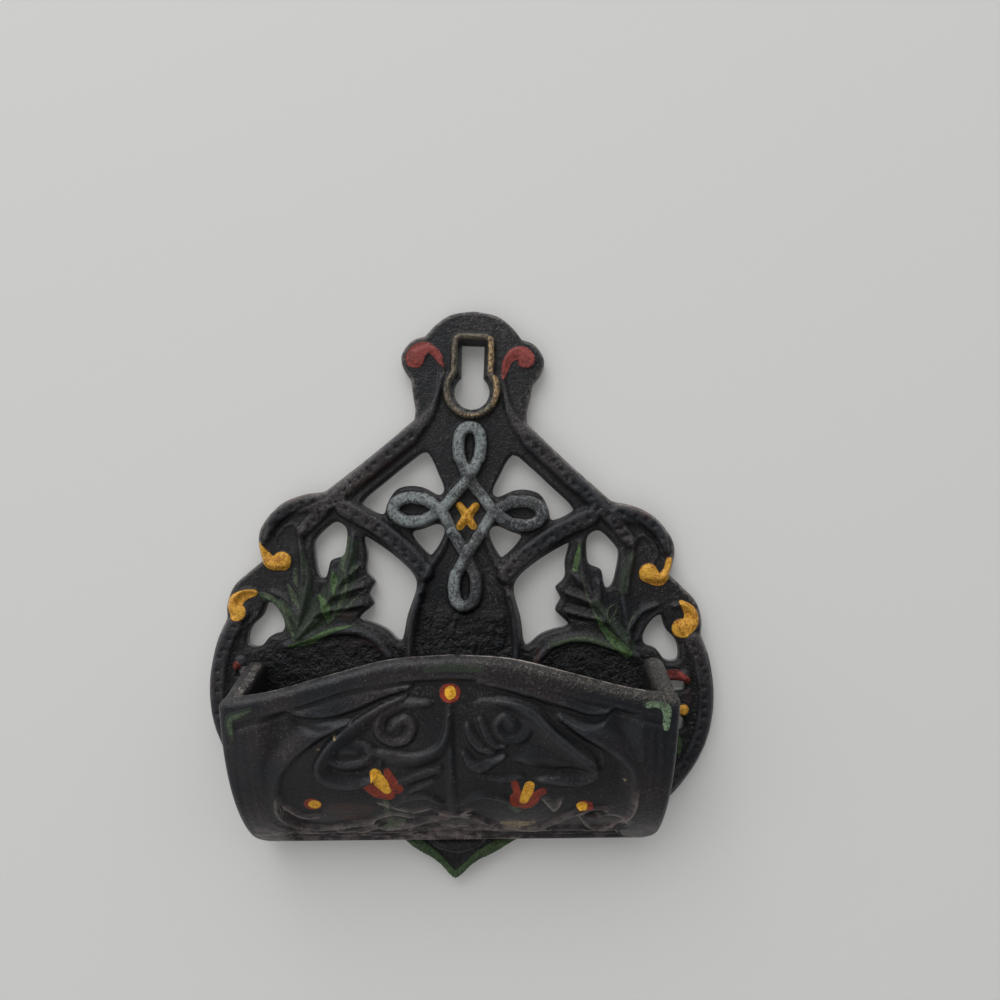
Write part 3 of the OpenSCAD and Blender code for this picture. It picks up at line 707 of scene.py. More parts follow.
pocket = {
    "rimWidth": 92.0, "footWidth": 87.2,  # across the end walls at the rim's corners and at the bottom, mm
    "height": 35.7, "depth": 19.0,  # up to the rim's corners, and out from the web
    "rimRise": 8.1, "rimSlope": 15.0,  # of the arch, and degrees up towards the plate
    "wall": 3.0, "endWall": 4.2, "web": 3.0,
    "drop": 100.0, "turn": 2.5,  # below the hanging hole, and degrees about the bottom's middle
    "bow": 2.5, "roll": 0.8,  # powers of the side view
    "footRound": 4.0, "cornerRound": 1.2, "rimRound": 0.9,
    "endRound": 2.0, "endDrop": 1.8, "endReach": 3.2,  # the end walls' rounder tops, which drop to the plate
    "spacing": 0.42, "legSteps": 16, "cornerSteps": 5, "rimSteps": 6,
    "ground": 1.1, "groundEdge": 1.1,  # depth of the carved ground and width of its step under the rim
    "groundSide": 37.6, "groundFade": 5.0,  # half its width, and the width of its soft sides
    "groundFoot": 2.5,  # its lower end above the bottom edge
    "flutes": (0.035, 1.9),  # height and pitch of the fine lines beside it
    "striker": (0.12, 0.85, 6.0),  # height and pitch of the ribs low in the middle, and their reach
    "channel": (0.45, 0.8, 1.6, 28.0, 44.0),  # groove under the rim's ends: depth, place, half width, span
    "carving": 1.4, "breadth": 1.2, "skew": 1.7,  # the scrolls' rises, widths and leans are times these
    "mostLean": 0.7,
    "spread": 0.3,  # how far a scroll's foot runs out, in shares of its half width
}
lug = {"radius": 4.2, "thick": 2.6, "hole": 1.7, "up": 14.0, "inset": 5.0, "reach": 5.4, "steps": 48}
archShape = [(0, 1), (0.26, 0.9), (0.52, 0.55), (0.78, 0.17), (1, 0)]  # shares of half width and rise
borderLine = [(0, 47.8), (8, 47.4), (15, 46.6), (20.3, 45.6), (25, 44.1), (30, 42.5), (36, 40.6), (46, 38)]
archRun = smoothRun(archShape, 0.02)

# Scrolls on the front: across and up the face from its bottom edge, widths, the rise,
# and the lean to the left of the line
scrolls = [
    ([(5.9, 46.4), (11.3, 45.4), (17.8, 43.6), (23.7, 41.8), (27.9, 40.3), (31.5, 40.4), (33, 41.7)],
     [1, 3, 4.6, 5, 4.4, 3, 0.8], 0.8, 0.4),  # right lobe
    ([(9.4, 43), (13, 42.3), (16.6, 40.4), (19.2, 37.5), (22.4, 34.3), (26, 31.2), (28.8, 28.8), (29, 26.6),
      (26.2, 25), (22, 25.1), (18, 25.4)], [1.2, 2.4, 3.2, 3.8, 4.2, 4, 3.4, 3, 2.8, 2.4, 1.2], 0.9, -0.3),
    ([(21.9, 39.2), (26.1, 36.2), (30.3, 33.7), (33.9, 31.1), (36.4, 28.4), (37.4, 24.8), (37.3, 19.9),
      (36.2, 12.5), (34.6, 7.4)], [1, 2.8, 4, 4.2, 3.2, 2, 1.4, 1.2, 0.9], 0.95, 0.35),
    ([(14.6, 30.2), (18, 30.6), (21, 30), (24.2, 29.2)], [2, 5, 5, 1.6], 0.55, 0.2),  # right belly
    ([(3.1, 37.7), (4, 34.9), (6, 32.6), (8.4, 32)], [1, 1.9, 2.1, 1], 0.7, 0.3),  # right fronds
    ([(5.8, 38.9), (7, 35.5), (9, 33.2), (10.8, 33.1)], [0.8, 1.7, 1.8, 0.8], 0.6, 0.3),
    ([(2.4, 31.8), (3.9, 29.1), (6.3, 28.2), (8.7, 29.7), (10.8, 31)], [1, 2, 2.4, 2, 0.8], 0.75, 0.3),
    ([(5.6, 26.6), (9.9, 25.5), (14.1, 26.2)], [0.8, 2, 1], 0.55, 0.3),
    ([(16, 43.4), (19, 41.4), (22, 39.8), (26.1, 38.2), (29.7, 37.9), (31.8, 39.4)],
     [0.5, 1, 1.2, 1.2, 1, 0.5], -0.25, 0),
    ([(18.4, 41.1), (21.3, 37.5), (26.1, 33.9), (29.3, 30.9), (30, 28.4)], [0.5, 1.4, 1.6, 1.4, 0.5],
     -0.3, 0),
    ([(-33, 41.4), (-29.9, 40.4), (-24.6, 40.2), (-19.2, 41.8), (-13.8, 44), (-8, 45.6)],
     [0.8, 3, 4.6, 4.4, 3.2, 1], 0.75, 0.4),  # left lobe
    ([(-9.6, 43.8), (-13.8, 42), (-19.3, 38.4), (-22.9, 35.5), (-25.4, 32.4), (-27, 29.2), (-26.2, 26.4),
      (-22.9, 24.6), (-18.7, 24.8), (-16, 25.8)], [1.2, 2.2, 2.8, 3, 3.2, 3.2, 3.4, 3.4, 2.8, 1.2],
     0.95, 0.35),
    ([(-20.4, 38.4), (-25.9, 36), (-30.2, 33), (-33.4, 29.5), (-35.2, 25.7), (-36.1, 20.9),
      (-35.6, 16.2), (-33.8, 12.4), (-31, 10.6)], [1, 2.8, 3.8, 3.6, 2.6, 1.7, 1.4, 1.2, 0.8], 0.95, -0.35),
    ([(-24.1, 34.6), (-24.7, 31.9), (-22, 29.9), (-17.7, 30.4), (-16.2, 32.6), (-18.6, 34.4)],
     [1, 2, 2.5, 2.2, 1.8, 1], 0.65, -0.2),  # left belly
    ([(-21.6, 32.6), (-19, 32.6)], [3, 3], 0.35, 0),
    ([(-16.4, 32.8), (-11.7, 32.1), (-6.9, 31.4), (-2.6, 33.3), (-0.9, 36.5), (-0.4, 40.1)],
     [1.2, 2.4, 2.9, 2.5, 1.9, 0.8], 0.75, -0.3),  # left fronds
    ([(-10.6, 25.4), (-8.9, 26.1), (-5.8, 27.5), (-2.2, 28.8)], [1, 2, 2.2, 1], 0.6, -0.3),
    ([(-8.6, 22.8), (-7.2, 23.8), (-3.4, 26)], [0.8, 1.8, 0.8], 0.55, -0.3),
    ([(-13.8, 31.9), (-14.2, 29)], [1, 1.4], 0.4, 0),
    ([(-31.7, 40.4), (-29.4, 38.2), (-26.4, 37.2), (-23.6, 37.6)], [0.5, 1.2, 1.2, 0.5], -0.25, 0),
    ([(-34.7, 18.2), (-31.4, 15), (-27.7, 14.7)], [0.7, 1.3, 0.8], 0.5, 0),  # left foot
    ([(-33.4, 11), (-26.6, 9.7), (-18, 12.1), (-14.5, 9.3), (-9.3, 10.8), (-5.3, 13.1), (-0.9, 14.2)],
     [0.8, 1.4, 1.5, 1.3, 1.4, 1.4, 0.9], 0.65, 0.3),
    # right foot
    ([(18, 8.1), (22.3, 12.5), (26, 15.1), (29.8, 13.9), (32.2, 16.1)], [0.8, 1.4, 1.5, 1.2, 0.8], 0.6, 0.3),
    ([(23.5, 13.7), (26.5, 16.6), (32.1, 16.6)], [0.6, 1.1, 0.6], 0.45, 0),
    ([(26, 15.1), (28.9, 8.8), (31.9, 7.7)], [0.7, 1.1, 0.7], 0.5, 0),
    ([(-2.7, 15.6), (3.5, 14.4), (6.6, 11.8), (10.3, 8.3)], [0.8, 1.4, 1.4, 0.8], 0.6, 0),
    ([(0, 45), (0, 36), (0, 26), (0, 16), (0, 8)], [0.8, 1.2, 1.6, 2, 2.4], 0.3, 0),  # middle
    # left and right eyes
    ([(-4.5, 42.6), (-9.8, 42.5), (-13.7, 40.2), (-14.6, 36.6), (-12, 34.2), (-8.6, 34.6), (-7.2, 37.3),
      (-8.8, 39.4), (-11, 38.4)], [1.4, 2.4, 2.7, 2.5, 2.2, 2, 1.8, 1.9, 2.7], 0.6, 0.25),
    ([(6, 42.8), (11.4, 42.4), (15.2, 40.4), (16.2, 37.2), (14, 34.6), (10.6, 34.8), (9, 37.5), (10.6, 39.6),
      (12.6, 38.6)], [1.4, 2.4, 2.7, 2.5, 2.2, 2, 1.8, 1.9, 2.7], 0.45, -0.25),
]
# These are on each half
twinScrolls = [
    ([(2.2, 19), (5.4, 21), (9.6, 20.4), (13, 18)], [0.8, 1.7, 1.8, 0.8], 0.45, 0.3),
    ([(3.6, 9.6), (10, 7.8), (17, 7.4), (24, 8), (31, 7), (36.6, 8.6)], [0.8, 1.2, 1.4, 1.4, 1.2, 0.7],
     0.55, 0.3),
    ([(5, 4.6), (12, 5.2), (20, 5), (28, 5.2), (34, 4.8), (38.4, 6.4)], [0.8, 1.2, 1.2, 1.2, 1.2, 0.7],
     0.5, 0),
    ([(32.9, 8.4), (35.8, 10), (37.6, 13.7)], [0.7, 1.1, 0.7], 0.45, 0),
]

# Lit ridges along the foot of the carving, which get a painted highlight, a painted glow above and a painted
# shadow below
litRidgeLines = [
    [(-34.7, 18.2), (-31.4, 15), (-27.7, 14.7)],
    [(-36.1, 20.9), (-36.1, 16.2), (-33.8, 12), (-29.7, 10)],
    [(-33.4, 11), (-26.6, 9.7), (-18, 12.1), (-14.5, 9.3), (-9.3, 10.8), (-5.3, 13.1), (-0.9, 14.2),
      (3.5, 16)],
    [(-18, 12.1), (-12.7, 14.7), (-9.1, 13.7)],
    [(-26.6, 9.7), (-22.5, 7.4), (-14.5, 9.3)],
    [(-8.3, 7.4), (-3, 9.8), (3.3, 8.9)],
    [(-41.8, 7.5), (-35.2, 8.2), (-27.8, 6.6), (-18.7, 6.7), (-12.3, 6)],
    [(-14.9, 18.8), (-8.9, 15.7), (-5.1, 16.7)],
    [(-2.7, 15.6), (3.5, 14.4), (6.6, 11.8), (10.3, 8.3)],
    [(3.2, 5.9), (9.7, 8.3), (18.1, 7.7), (22.3, 12.5), (26, 15.1)],
    [(18.1, 7.7), (25.9, 6.2), (32.9, 7.1), (37, 5.4)],
    [(23.5, 13.7), (26.4, 15.4), (32.1, 16.4)],
    [(26, 15.1), (28.9, 8.8), (31.9, 7.7), (35.1, 11.1), (37.4, 16), (37.9, 21.6)],
    [(29.8, 13.9), (33.6, 13.8), (36.2, 12.5)],
    [(18.8, 19.4), (20, 17.4), (21, 15.7), (21.8, 17), (22.4, 18.8)],
]

pocketPaint = {
    "litYellow": [
        ([(0.15, 44.3), (0.15, 44.6)], [2.5, 2.5]),
        ([(-15.2, 27.4), (-14.5, 25.4), (-13.2, 22.8)], [2.4, 3, 1.9]),
        ([(15.9, 24), (15.4, 22), (14.7, 19.4)], [2.1, 2.4, 1.8]),
        ([(-28.4, 18.9)], [2.7]),
        ([(26.7, 17.7)], [2.5]),
    ],
    "ember": [
        ([(-0.1, 44.4), (0.2, 44.4)], [4, 4]),
        ([(-12.9, 27.9), (-12.2, 25.5), (-11, 23.3)], [1.6, 2.4, 2.6]),
        ([(-17, 24), (-15.4, 22.6), (-13, 21.5)], [2.2, 3.2, 2.8]),
        ([(12.8, 24.7), (13.1, 23.2), (13.6, 21)], [1.6, 1.7, 2]),
        ([(18.5, 22.2), (16.9, 21.2)], [1.9, 1.9]),
        ([(12.7, 20.7), (13.2, 19), (15, 18), (16.6, 19.2), (17.4, 20.5)], [1.8, 2.4, 2.6, 2.4, 1.7]),
        ([(-28.8, 19)], [3.7]),
        ([(27.2, 17.7), (27.6, 17.5)], [3.2, 3.1]),
    ],
    "mint": [
        ([(39.3, 41.9), (41, 42.2), (42.8, 41.4), (43.1, 39.7), (42.9, 37.2)], [1.3, 1.8, 2, 1.7, 1.2]),
    ],
    "wash": [
        ([(-39.4, 41.6), (-42.1, 40.6), (-43.5, 40), (-43.6, 37.7), (-43.1, 35.6)], [1, 1.7, 2, 1.6, 1]),
        ([(-4.5, 49.3), (0.4, 49.8), (6.4, 49.3)], [1.4, 2, 1.4]),
    ],
    "sage": [
        ([(-39.4, 41.4), (-42, 40.5), (-43.4, 39.7), (-43.5, 38), (-43, 35.8)], [0.3, 0.8, 1.2, 0.9, 0.3]),
        ([(-13.6, 20.4), (-13.6, 15.5), (-13.2, 10.8)], [1, 1.5, 2]),
        ([(-16, 9.2), (-13, 10.2), (-10.8, 12.4)], [1.8, 3, 1.8]),
        ([(12.2, 17.6), (13.4, 16.2)], [1.5, 1.6]),
    ],
    "rust": [
        ([(-25.7, 17.2), (-22, 17.6), (-17.6, 17.4)], [2.4, 4, 2.8]),
        ([(-24.4, 14.4), (-20.6, 14.2), (-18, 14.8)], [1.6, 3, 2]),
        ([(26, 16.4), (33, 12), (38, 16)], [0.8, 1.4, 0.8]),
    ],
    "tan": [
        ([(10.4, 11), (12.5, 10.1), (15, 10.2), (17, 11.2)], [2, 3.6, 3.2, 1.4]),
        ([(-22.8, 35.9)], [1.1]),
        ([(-26.5, 33)], [0.8]),
        ([(35.1, 25.4)], [0.8]),
    ],
}

# Wear and painted light across the pocket: places in mm from its middle, and how strong each is there
pocketWearAndLight = {
    "bottom": ([-44, -20, 0, 40, 43], [-0.5, -0.3, 0.2, 0.2, -0.5]),
    "innerRim": ([-41, 0, 8, 41, 43], [-0.1, 0, 0.3, 0.3, -2]),
    "corners": 0.1,
    "sandyRim": ([-42, -41, 0, 20, 36, 41, 42], [0.65, 0.5, 0.6, 0.95, 1, 0.85, 1]),
    "foot": ([-90, -46, -20, -4, 10, 24], [0, 1.7, 1.5, 2.9, 2.2, 0.8]),
    "footTop": 15.0,
    "ridgeReach": 2.0,
}
offFace = -99.0  # both places of a point that isn't on the front


def archRise(x):  # rise of the rim above its corners, mm
    share = np.interp(abs(x) / (pocket["rimWidth"] / 2), archRun[:, 0], archRun[:, 1])
    return share * pocket["rimRise"] / math.cos(math.radians(pocket["rimSlope"]))


def rimCap(far):  # height of the rim's rounded top, by the distance out from the plate
    share = soft((pocket["depth"] - 1 - far) / 4)
    return pocket["rimRound"] + (pocket["endRound"] - pocket["rimRound"]) * share


def halfWidth(up):
    taper = (pocket["rimWidth"] - pocket["footWidth"]) / 2 / pocket["height"]
    radius = pocket["footRound"]
    low = np.clip(radius - up, 0, radius)
    return pocket["footWidth"] / 2 + taper * up - radius + np.sqrt(radius ** 2 - low ** 2)


def sideView():  # up and out along the face from its bottom edge, with the length along it
    low = np.linspace(0, 1, 300)[:-1] ** 3 * pocket["height"]
    up = np.concatenate([low, np.linspace(pocket["height"], 60, 200)])
    s = np.clip(1 - up / pocket["height"], 0, 1)
    out = pocket["depth"] * (1 - s ** pocket["bow"]) ** pocket["roll"]
    length = np.concatenate([[0], np.cumsum(np.hypot(np.diff(up), np.diff(out)))])
    return up, out, length


def faceRelief(x, along):  # carving on the front, mm out from the plain face
    spots = np.column_stack([x, along])
    border = smoothRun(borderLine, 0.5)
    below = np.interp(abs(x), border[:, 0], border[:, 1]) - along
    sunk = soft(np.minimum(below, along - pocket["groundFoot"]) / pocket["groundEdge"])
    sunk *= soft((pocket["groundSide"] + 1 - abs(x)) / pocket["groundFade"])
    raised, cut = np.zeros(len(x)), np.zeros(len(x))
    mirrored = [(flipped(line), widths, rise, -lean) for line, widths, rise, lean in twinScrolls]
    for line, widths, rise, lean in scrolls + twinScrolls + mirrored:
        lean = np.clip(lean * pocket["skew"], -pocket["mostLean"], pocket["mostLean"])
        depth, half = stroke(spots, line, np.multiply(widths, pocket["breadth"]), lean)
        shape = rise * soft((depth / half + pocket["spread"]) / (1 + pocket["spread"]))
        raised, cut = np.maximum(raised, shape), np.minimum(cut, shape)
    height, pitch = pocket["flutes"]
    flutes = height * np.sin(2 * np.pi * x / pitch) * soft((abs(x) - pocket["groundSide"]) / 1.5)
    flutes *= soft((below - 1) / 2)
    height, pitch, reach = pocket["striker"]
    striker = height * np.sin(2 * np.pi * x / pitch) * soft((reach - abs(x)) / 1.5)
    striker *= soft((reach - along) / 1.5)
    depth, place, half, inner, outer = pocket["channel"]
    channel = depth * soft(1 - abs(below - place) / half)
    channel *= soft((outer - abs(x)) / 2)
    channel *= soft((abs(x) - inner) / 6)
    return (pocket["carving"] * (raised + cut) - pocket["ground"]) * sunk + flutes + striker - channel


# Rows from the rim down, columns round the walls; insets of 0 are for the outside
def pocketGrid(inset, endInset):
    up, out, length = sideView()
    tilt, lean = np.gradient(up, length), np.gradient(out, length)
    level, reach = up + inset * lean, out - inset * tilt
    start = np.flatnonzero(reach <= 0)[-1]
    first = np.interp(0, reach[start:start + 2], length[start:start + 2])
    slope = math.tan(math.radians(pocket["rimSlope"]))
    radius = max(0.6, pocket["cornerRound"] - inset / 4)
    legs = np.linspace(0, 1, pocket["legSteps"], endpoint=False)
    bends = np.linspace(0, np.pi / 2, pocket["cornerSteps"], endpoint=False)
    count = round(pocket["rimWidth"] / pocket["spacing"])
    columns = [("leg", -1, g) for g in legs] + [("bend", -1, a) for a in bends]
    columns += [("front", 0, f) for f in np.linspace(-1, 1, count)]
    columns += [("bend", 1, a) for a in bends[::-1]] + [("leg", 1, g) for g in legs[::-1]]
    rows = round((length[np.searchsorted(up, pocket["height"])] + 4) / pocket["spacing"])
    t = np.linspace(0, 1, rows)
    grid, lengths = [], []
    for kind, side, share in columns:
        def lay(along):  # this column's x, up and out at lengths along the face
            rise, far = np.interp(along, length, level), np.maximum(np.interp(along, length, reach), 0)
            half = halfWidth(np.interp(along, length, up)) - endInset
            bend = np.minimum(radius, far / 2)
            if kind == "leg":
                return side * half, rise, share * (far - bend)
            if kind == "bend":
                return side * (half - bend + bend * np.cos(share)), rise, far - bend + bend * np.sin(share)
            return share * (half - bend), rise, far

        top = np.interp(pocket["height"] + pocket["rimRise"] / 2, up, length)
        for _ in range(4):  # settle the rim's height where this column meets it
            x, rise, far = lay(np.array([top]))
            target = pocket["height"] + archRise(x[0]) + (pocket["depth"] - far[0]) * slope
            target -= rimCap(far[0] + inset)
            target -= pocket["endDrop"] * (1 - dome(far[0] / pocket["endReach"]))
            top = np.interp(target, up, length)
        lengths.append(first + (top - first) * (1 - t))
        grid.append(np.column_stack(lay(lengths[-1])))
    grid, along = np.stack(grid, axis=1), np.stack(lengths, axis=1)
    face = np.array([kind == "front" for kind, side, share in columns]) & (not inset)
    spots = np.where(face[:, None], np.stack([grid[..., 0], along], axis=-1), offFace)
    bump = np.zeros(along.shape)
    if not inset:
        bump = np.where(face, faceRelief(grid[..., 0].ravel(), along.ravel()).reshape(along.shape), 0)
        grid[..., 1] -= bump * np.interp(along, length, lean)
        grid[..., 2] += bump * np.interp(along, length, tilt)
    return grid, spots, bump


def quads(index):  # faces between the rows and columns of a grid of point numbers
    return np.stack([index[:-1, :-1], index[:-1, 1:], index[1:, 1:], index[1:, :-1]], axis=-1).reshape(-1, 4)


def standPocket(local):  # from the pocket's own x, up and out to the plate's frame
    a = math.radians(pocket["turn"])
    x, up, out = local.T
    return np.column_stack([x * math.cos(a) - up * math.sin(a), -pocket["web"] - out,
                            x * math.sin(a) + up * math.cos(a) - pocket["drop"]])


def lugCentre():
    return halfWidth(lug["up"]) - pocket["endWall"] - lug["inset"]


def lugShape(side):  # a flat ear inside an end wall, with a hole for the rivet
    turn = np.linspace(0, 2 * np.pi, lug["steps"], endpoint=False)
    across, along = np.cos(turn), np.sin(turn)
    square = np.minimum(lug["reach"] / np.maximum(across, 0.01), lug["radius"] / np.maximum(abs(along), 0.01))
    outline = np.where(across > 0.01, square, lug["radius"])
    rings = [(outline, 0), (outline, lug["thick"] - 0.4), (outline - 0.4, lug["thick"]),
             (lug["hole"] + 0 * turn, lug["thick"]), (lug["hole"] + 0 * turn, 0)]
    points = [np.column_stack([side * (lugCentre() + r * across), lug["up"] + r * along, out + 0 * turn])
              for r, out in rings]
    number = np.arange(len(rings) * lug["steps"]).reshape(len(rings), -1)
    number = np.vstack([number, number[:1]])
    skin = quads(np.hstack([number, number[:, :1]]))
    return np.vstack(points), np.vstack([skin[:, [0, 1, 2]], skin[:, [0, 2, 3]]])


def buildPocket():
    outside, spots, bump = pocketGrid(0.0, 0.0)
    inside = pocketGrid(pocket["wall"], pocket["endWall"])[0]
    rows, columns = outside.shape[:2]
    turns = np.linspace(0, np.pi, pocket["rimSteps"] + 2)[1:-1]
    rim = [outside[0] + (inside[0] - outside[0]) * (1 - math.cos(a)) / 2
           + np.outer(rimCap(outside[0, :, 2]), [0, 1, 0]) * math.sin(a) ** 0.7 for a in turns]
    # up the outside, over the rim, down the inside
    sheet = np.concatenate([outside[::-1], np.array(rim), inside])
    number = np.arange(sheet.shape[0] * columns).reshape(sheet.shape[:2])
    last = sheet.shape[0] - 1
    faces = [quads(number)]
    faces.append(quads(np.stack([number[last], number[0]])))  # the strip on the plate under the bottom
    low, high = number[:rows], number[::-1][:rows]
    for column in (0, columns - 1):  # the strips on the plate beside the end walls
        faces.append(quads(np.stack([low[:, column], high[:, column]], axis=1)))
        over = number[rows:last + 1 - rows, column]
        between = np.concatenate([[low[-1, column]], over, [high[-1, column]]])
        fan = [(between[0], a, b, b) for a, b in zip(between[1:], between[2:])]
        faces.append(np.array(fan))
    faces = np.vstack(faces)
    points, kept, number = np.unique(
        sheet.reshape(-1, 3).round(4), axis=0, return_index=True, return_inverse=True)
    faces = number.ravel()[np.vstack([faces[:, [0, 1, 2]], faces[:, [0, 2, 3]]])]
    faces = faces[(faces[:, 0] != faces[:, 1]) & (faces[:, 1] != faces[:, 2]) & (faces[:, 0] != faces[:, 2])]
    for side in (-1, 1):
        ear, skin = lugShape(side)
        faces = np.vstack([faces, skin + len(points)])
        points = np.vstack([points, ear])
    piece = newPiece("match_pocket", standPocket(points), faces)
    extra = len(points) - len(kept)

    face = np.full((sheet.shape[0], columns, 2), offFace)
    face[:rows] = spots[::-1]
    face = np.vstack([face.reshape(-1, 2)[kept], np.full((extra, 2), offFace)])
    marks = {colour: strokes(face, lines) for colour, lines in pocketPaint.items()}
    # which side of each lit ridge a point lies, for its painted highlight, glow and shadow
    marks["litRidgeSide"] = nearestSide(face, litRidgeLines, pocketWearAndLight["ridgeReach"])
    marks["apart"] = abs(marks["litRidgeSide"])
    rimEnd = rows + len(rim)
    wearAndHighlight = np.full(sheet.shape[:2], farOut)  # painted highlights with some wear, along the bottom, the rim's inner edge and the front corners
    wearAndHighlight[:4] = np.interp(sheet[0, :, 0], *pocketWearAndLight["bottom"])
    wearAndHighlight[rimEnd - 3:rimEnd] = np.interp(sheet[rows, :, 0], *pocketWearAndLight["innerRim"])
    corner = pocket["legSteps"] + pocket["cornerSteps"] // 2
    wearAndHighlight[:rows, [corner, -1 - corner]] = pocketWearAndLight["corners"]
    marks["wearAndHighlight"] = np.concatenate([wearAndHighlight.ravel()[kept], np.full(extra, farOut)])
    setMarks(piece, marks)
    bare = np.zeros(sheet.shape[:2])
    bare[rows:rimEnd] = 1
    for k in range(8):  # the bare rim fades down both sides
        bare[rows - 1 - k] = bare[rimEnd + k] = max(0, 0.9 - 0.16 * k)
    bare *= np.interp(sheet[..., 0], *pocketWearAndLight["sandyRim"])
    # the pocket's inside gets painted shade
    within = np.zeros(sheet.shape[:2])
    within[rimEnd:] = 1
    lift = np.full(sheet.shape[:2], 0.5)
    lift[:rows] = np.clip(1 + bump[::-1] / pocket["ground"], 0, 1.25)
    for key, values in (("bare", bare), ("within", within), ("lift", lift)):
        setMarks(piece, {key: np.concatenate([values.ravel()[kept], np.zeros(extra)])})
    # the foot's zone, for its wear, rust tint and painted glow
    rubAndGlow = soft((pocketWearAndLight["footTop"] - face[:, 1]) / 8) * np.interp(face[:, 0], *pocketWearAndLight["foot"])
    setMarks(piece, {"rubAndGlow": rubAndGlow})
    print("pocket:", len(piece.data.vertices), "points,", len(piece.data.polygons), "faces")
    return piece


# Rivets: a countersunk tail, a shank and a domed head on the lug

rivet = {"Length": 7.3 * mm, "Widest": 3.0 * mm}
# Share of the length from the back, and the radius in mm
rivetShape = [(0, 2.6), (0.164, 1.6), (0.767, 1.6), (0.768, 3), (0.836, 2.64), (0.904, 2.1), (0.959, 1.42),
              (0.986, 0.83), (1, 0.2)]


def rivetTree():
    tree, g, given = newTree("domedRivet", {
        "Place": "Vector", "Length": "Float", "Widest": "Float", "Material": "Material"})
    bar = g.add("GeometryNodeMeshCylinder", None, {
        "Vertices": 48, "Side Segments": 60, "Fill Segments": 2, "Radius": 1.0, "Depth": 1.0})
    spot = g.node("ShaderNodeSeparateXYZ", None, {0: g.add("GeometryNodeInputPosition")})
    across, along, share = (Wire(g, socket) for socket in spot.outputs)
    share = share + 0.5
    curve = g.node("ShaderNodeFloatCurve", None, {"Value": share})
    outline = curve.mapping.curves[0]
    ends = [(t, radius * mm / rivet["Widest"]) for t, radius in rivetShape]
    outline.points[0].location, outline.points[1].location = ends[0], ends[-1]
    for end in ends[1:-1]:
        outline.points.new(*end)
    for point in outline.points:
        point.handle_type = "VECTOR"
    curve.mapping.update()
    radius = Wire(g, curve.outputs[0]) * given["Widest"]
    turned = g.add("ShaderNodeCombineXYZ", None, {
        0: across * radius, 1: 0 - share * given["Length"], 2: along * radius})
    there = g.add("ShaderNodeVectorMath", {"operation": "ADD"}, {0: turned, 1: given["Place"]})
    shaped = g.add("GeometryNodeSetPosition", None, {"Geometry": bar, "Position": there})
    closeTree(g, shaped, given["Material"])
    return tree


def buildRivet(name, side, tree, material):
    piece = bpy.data.objects.new(name, bpy.data.meshes.new(name))
    bpy.context.scene.collection.objects.link(piece)
    centre = standPocket(np.array([[side * lugCentre(), lug["up"], -pocket["web"]]]))[0]
    applyTree(piece, tree, {**rivet, "Place": tuple(centre * mm), "Material": material})
    piece.data.shade_smooth()
    return piece


# Finishes

def tone(red, green, blue):  # a colour as a screen shows it, 0 to 255
    return tuple(((c / 255 + 0.055) / 1.055) ** 2.4 if c > 10 else c / 3294.6 for c in (red, green, blue))


enamel = {
    "deep": tone(8, 8, 9),  # pits, and painted shade in creases, on low ground, on the walls of holes, inside the pocket and under the foot's lit ridges
    "black": (tone(18, 20, 25), tone(40, 31, 32)),  # sound enamel
    "crest": tone(58, 59, 63),  # painted highlight on raised crests
    "dust": tone(112, 109, 105),
    "wearAndHighlight": (tone(82, 76, 69), tone(122, 113, 102)),  # chipped to the iron, and at the pocket's foot painted highlight streaks
    "footGlow": tone(134, 119, 116),  # painted glow on the foot, where light bounces up onto it
    "maroon": tone(42, 20, 23),
    # light lines: edge wear, and painted highlights on the pocket's edges and lit ridges
    "edge": (tone(128, 117, 111), tone(190, 180, 172)),
    "sand": (tone(34, 32, 30), tone(122, 114, 104)),  # the pocket's coarse rim
    "speck": tone(168, 163, 154),
}
# Each paint's two tones, how well it covers, and how much of it has rubbed through
paints = {
    "rust": (tone(88, 52, 42), tone(54, 37, 32), 0.45, 0.6),
    "wash": (tone(52, 66, 46), tone(35, 45, 34), 0.62, 0.4),
    "bead": (tone(138, 126, 105), tone(66, 59, 48), 0.85, 0.7),
    "gold": (tone(208, 172, 126), tone(130, 106, 74), 0.9, 0.65),
    "cord": (tone(140, 145, 144), tone(82, 86, 84), 0.95, 0.54),
    # painted shade: near black where the pocket shades the tip
    "tipShade": (tone(9, 9, 10), tone(20, 18, 18), 0.8, 0.0),
    "chalk": (tone(140, 134, 130), tone(84, 80, 78), 0.65, 0.5),
    "tan": (tone(170, 150, 112), tone(98, 84, 62), 0.85, 0.7),
    "sage": (tone(88, 102, 76), tone(56, 70, 50), 0.74, 0.45),
    "green": (tone(82, 108, 64), tone(54, 76, 42), 0.94, 0.28),
    "mint": (tone(122, 144, 112), tone(76, 96, 70), 0.94, 0.5),
    "red": (tone(154, 66, 57), tone(112, 46, 41), 0.96, 0.3),
    "ember": (tone(160, 58, 32), tone(112, 38, 24), 0.96, 0.3),
    "yellow": (tone(228, 170, 58), tone(170, 108, 30), 1.0, 0.02),
    # a lighter copy of the yellow: painted light on the pocket's yellow dabs
    "litYellow": (tone(255, 192, 54), tone(206, 134, 30), 1.0, 0.05),
}


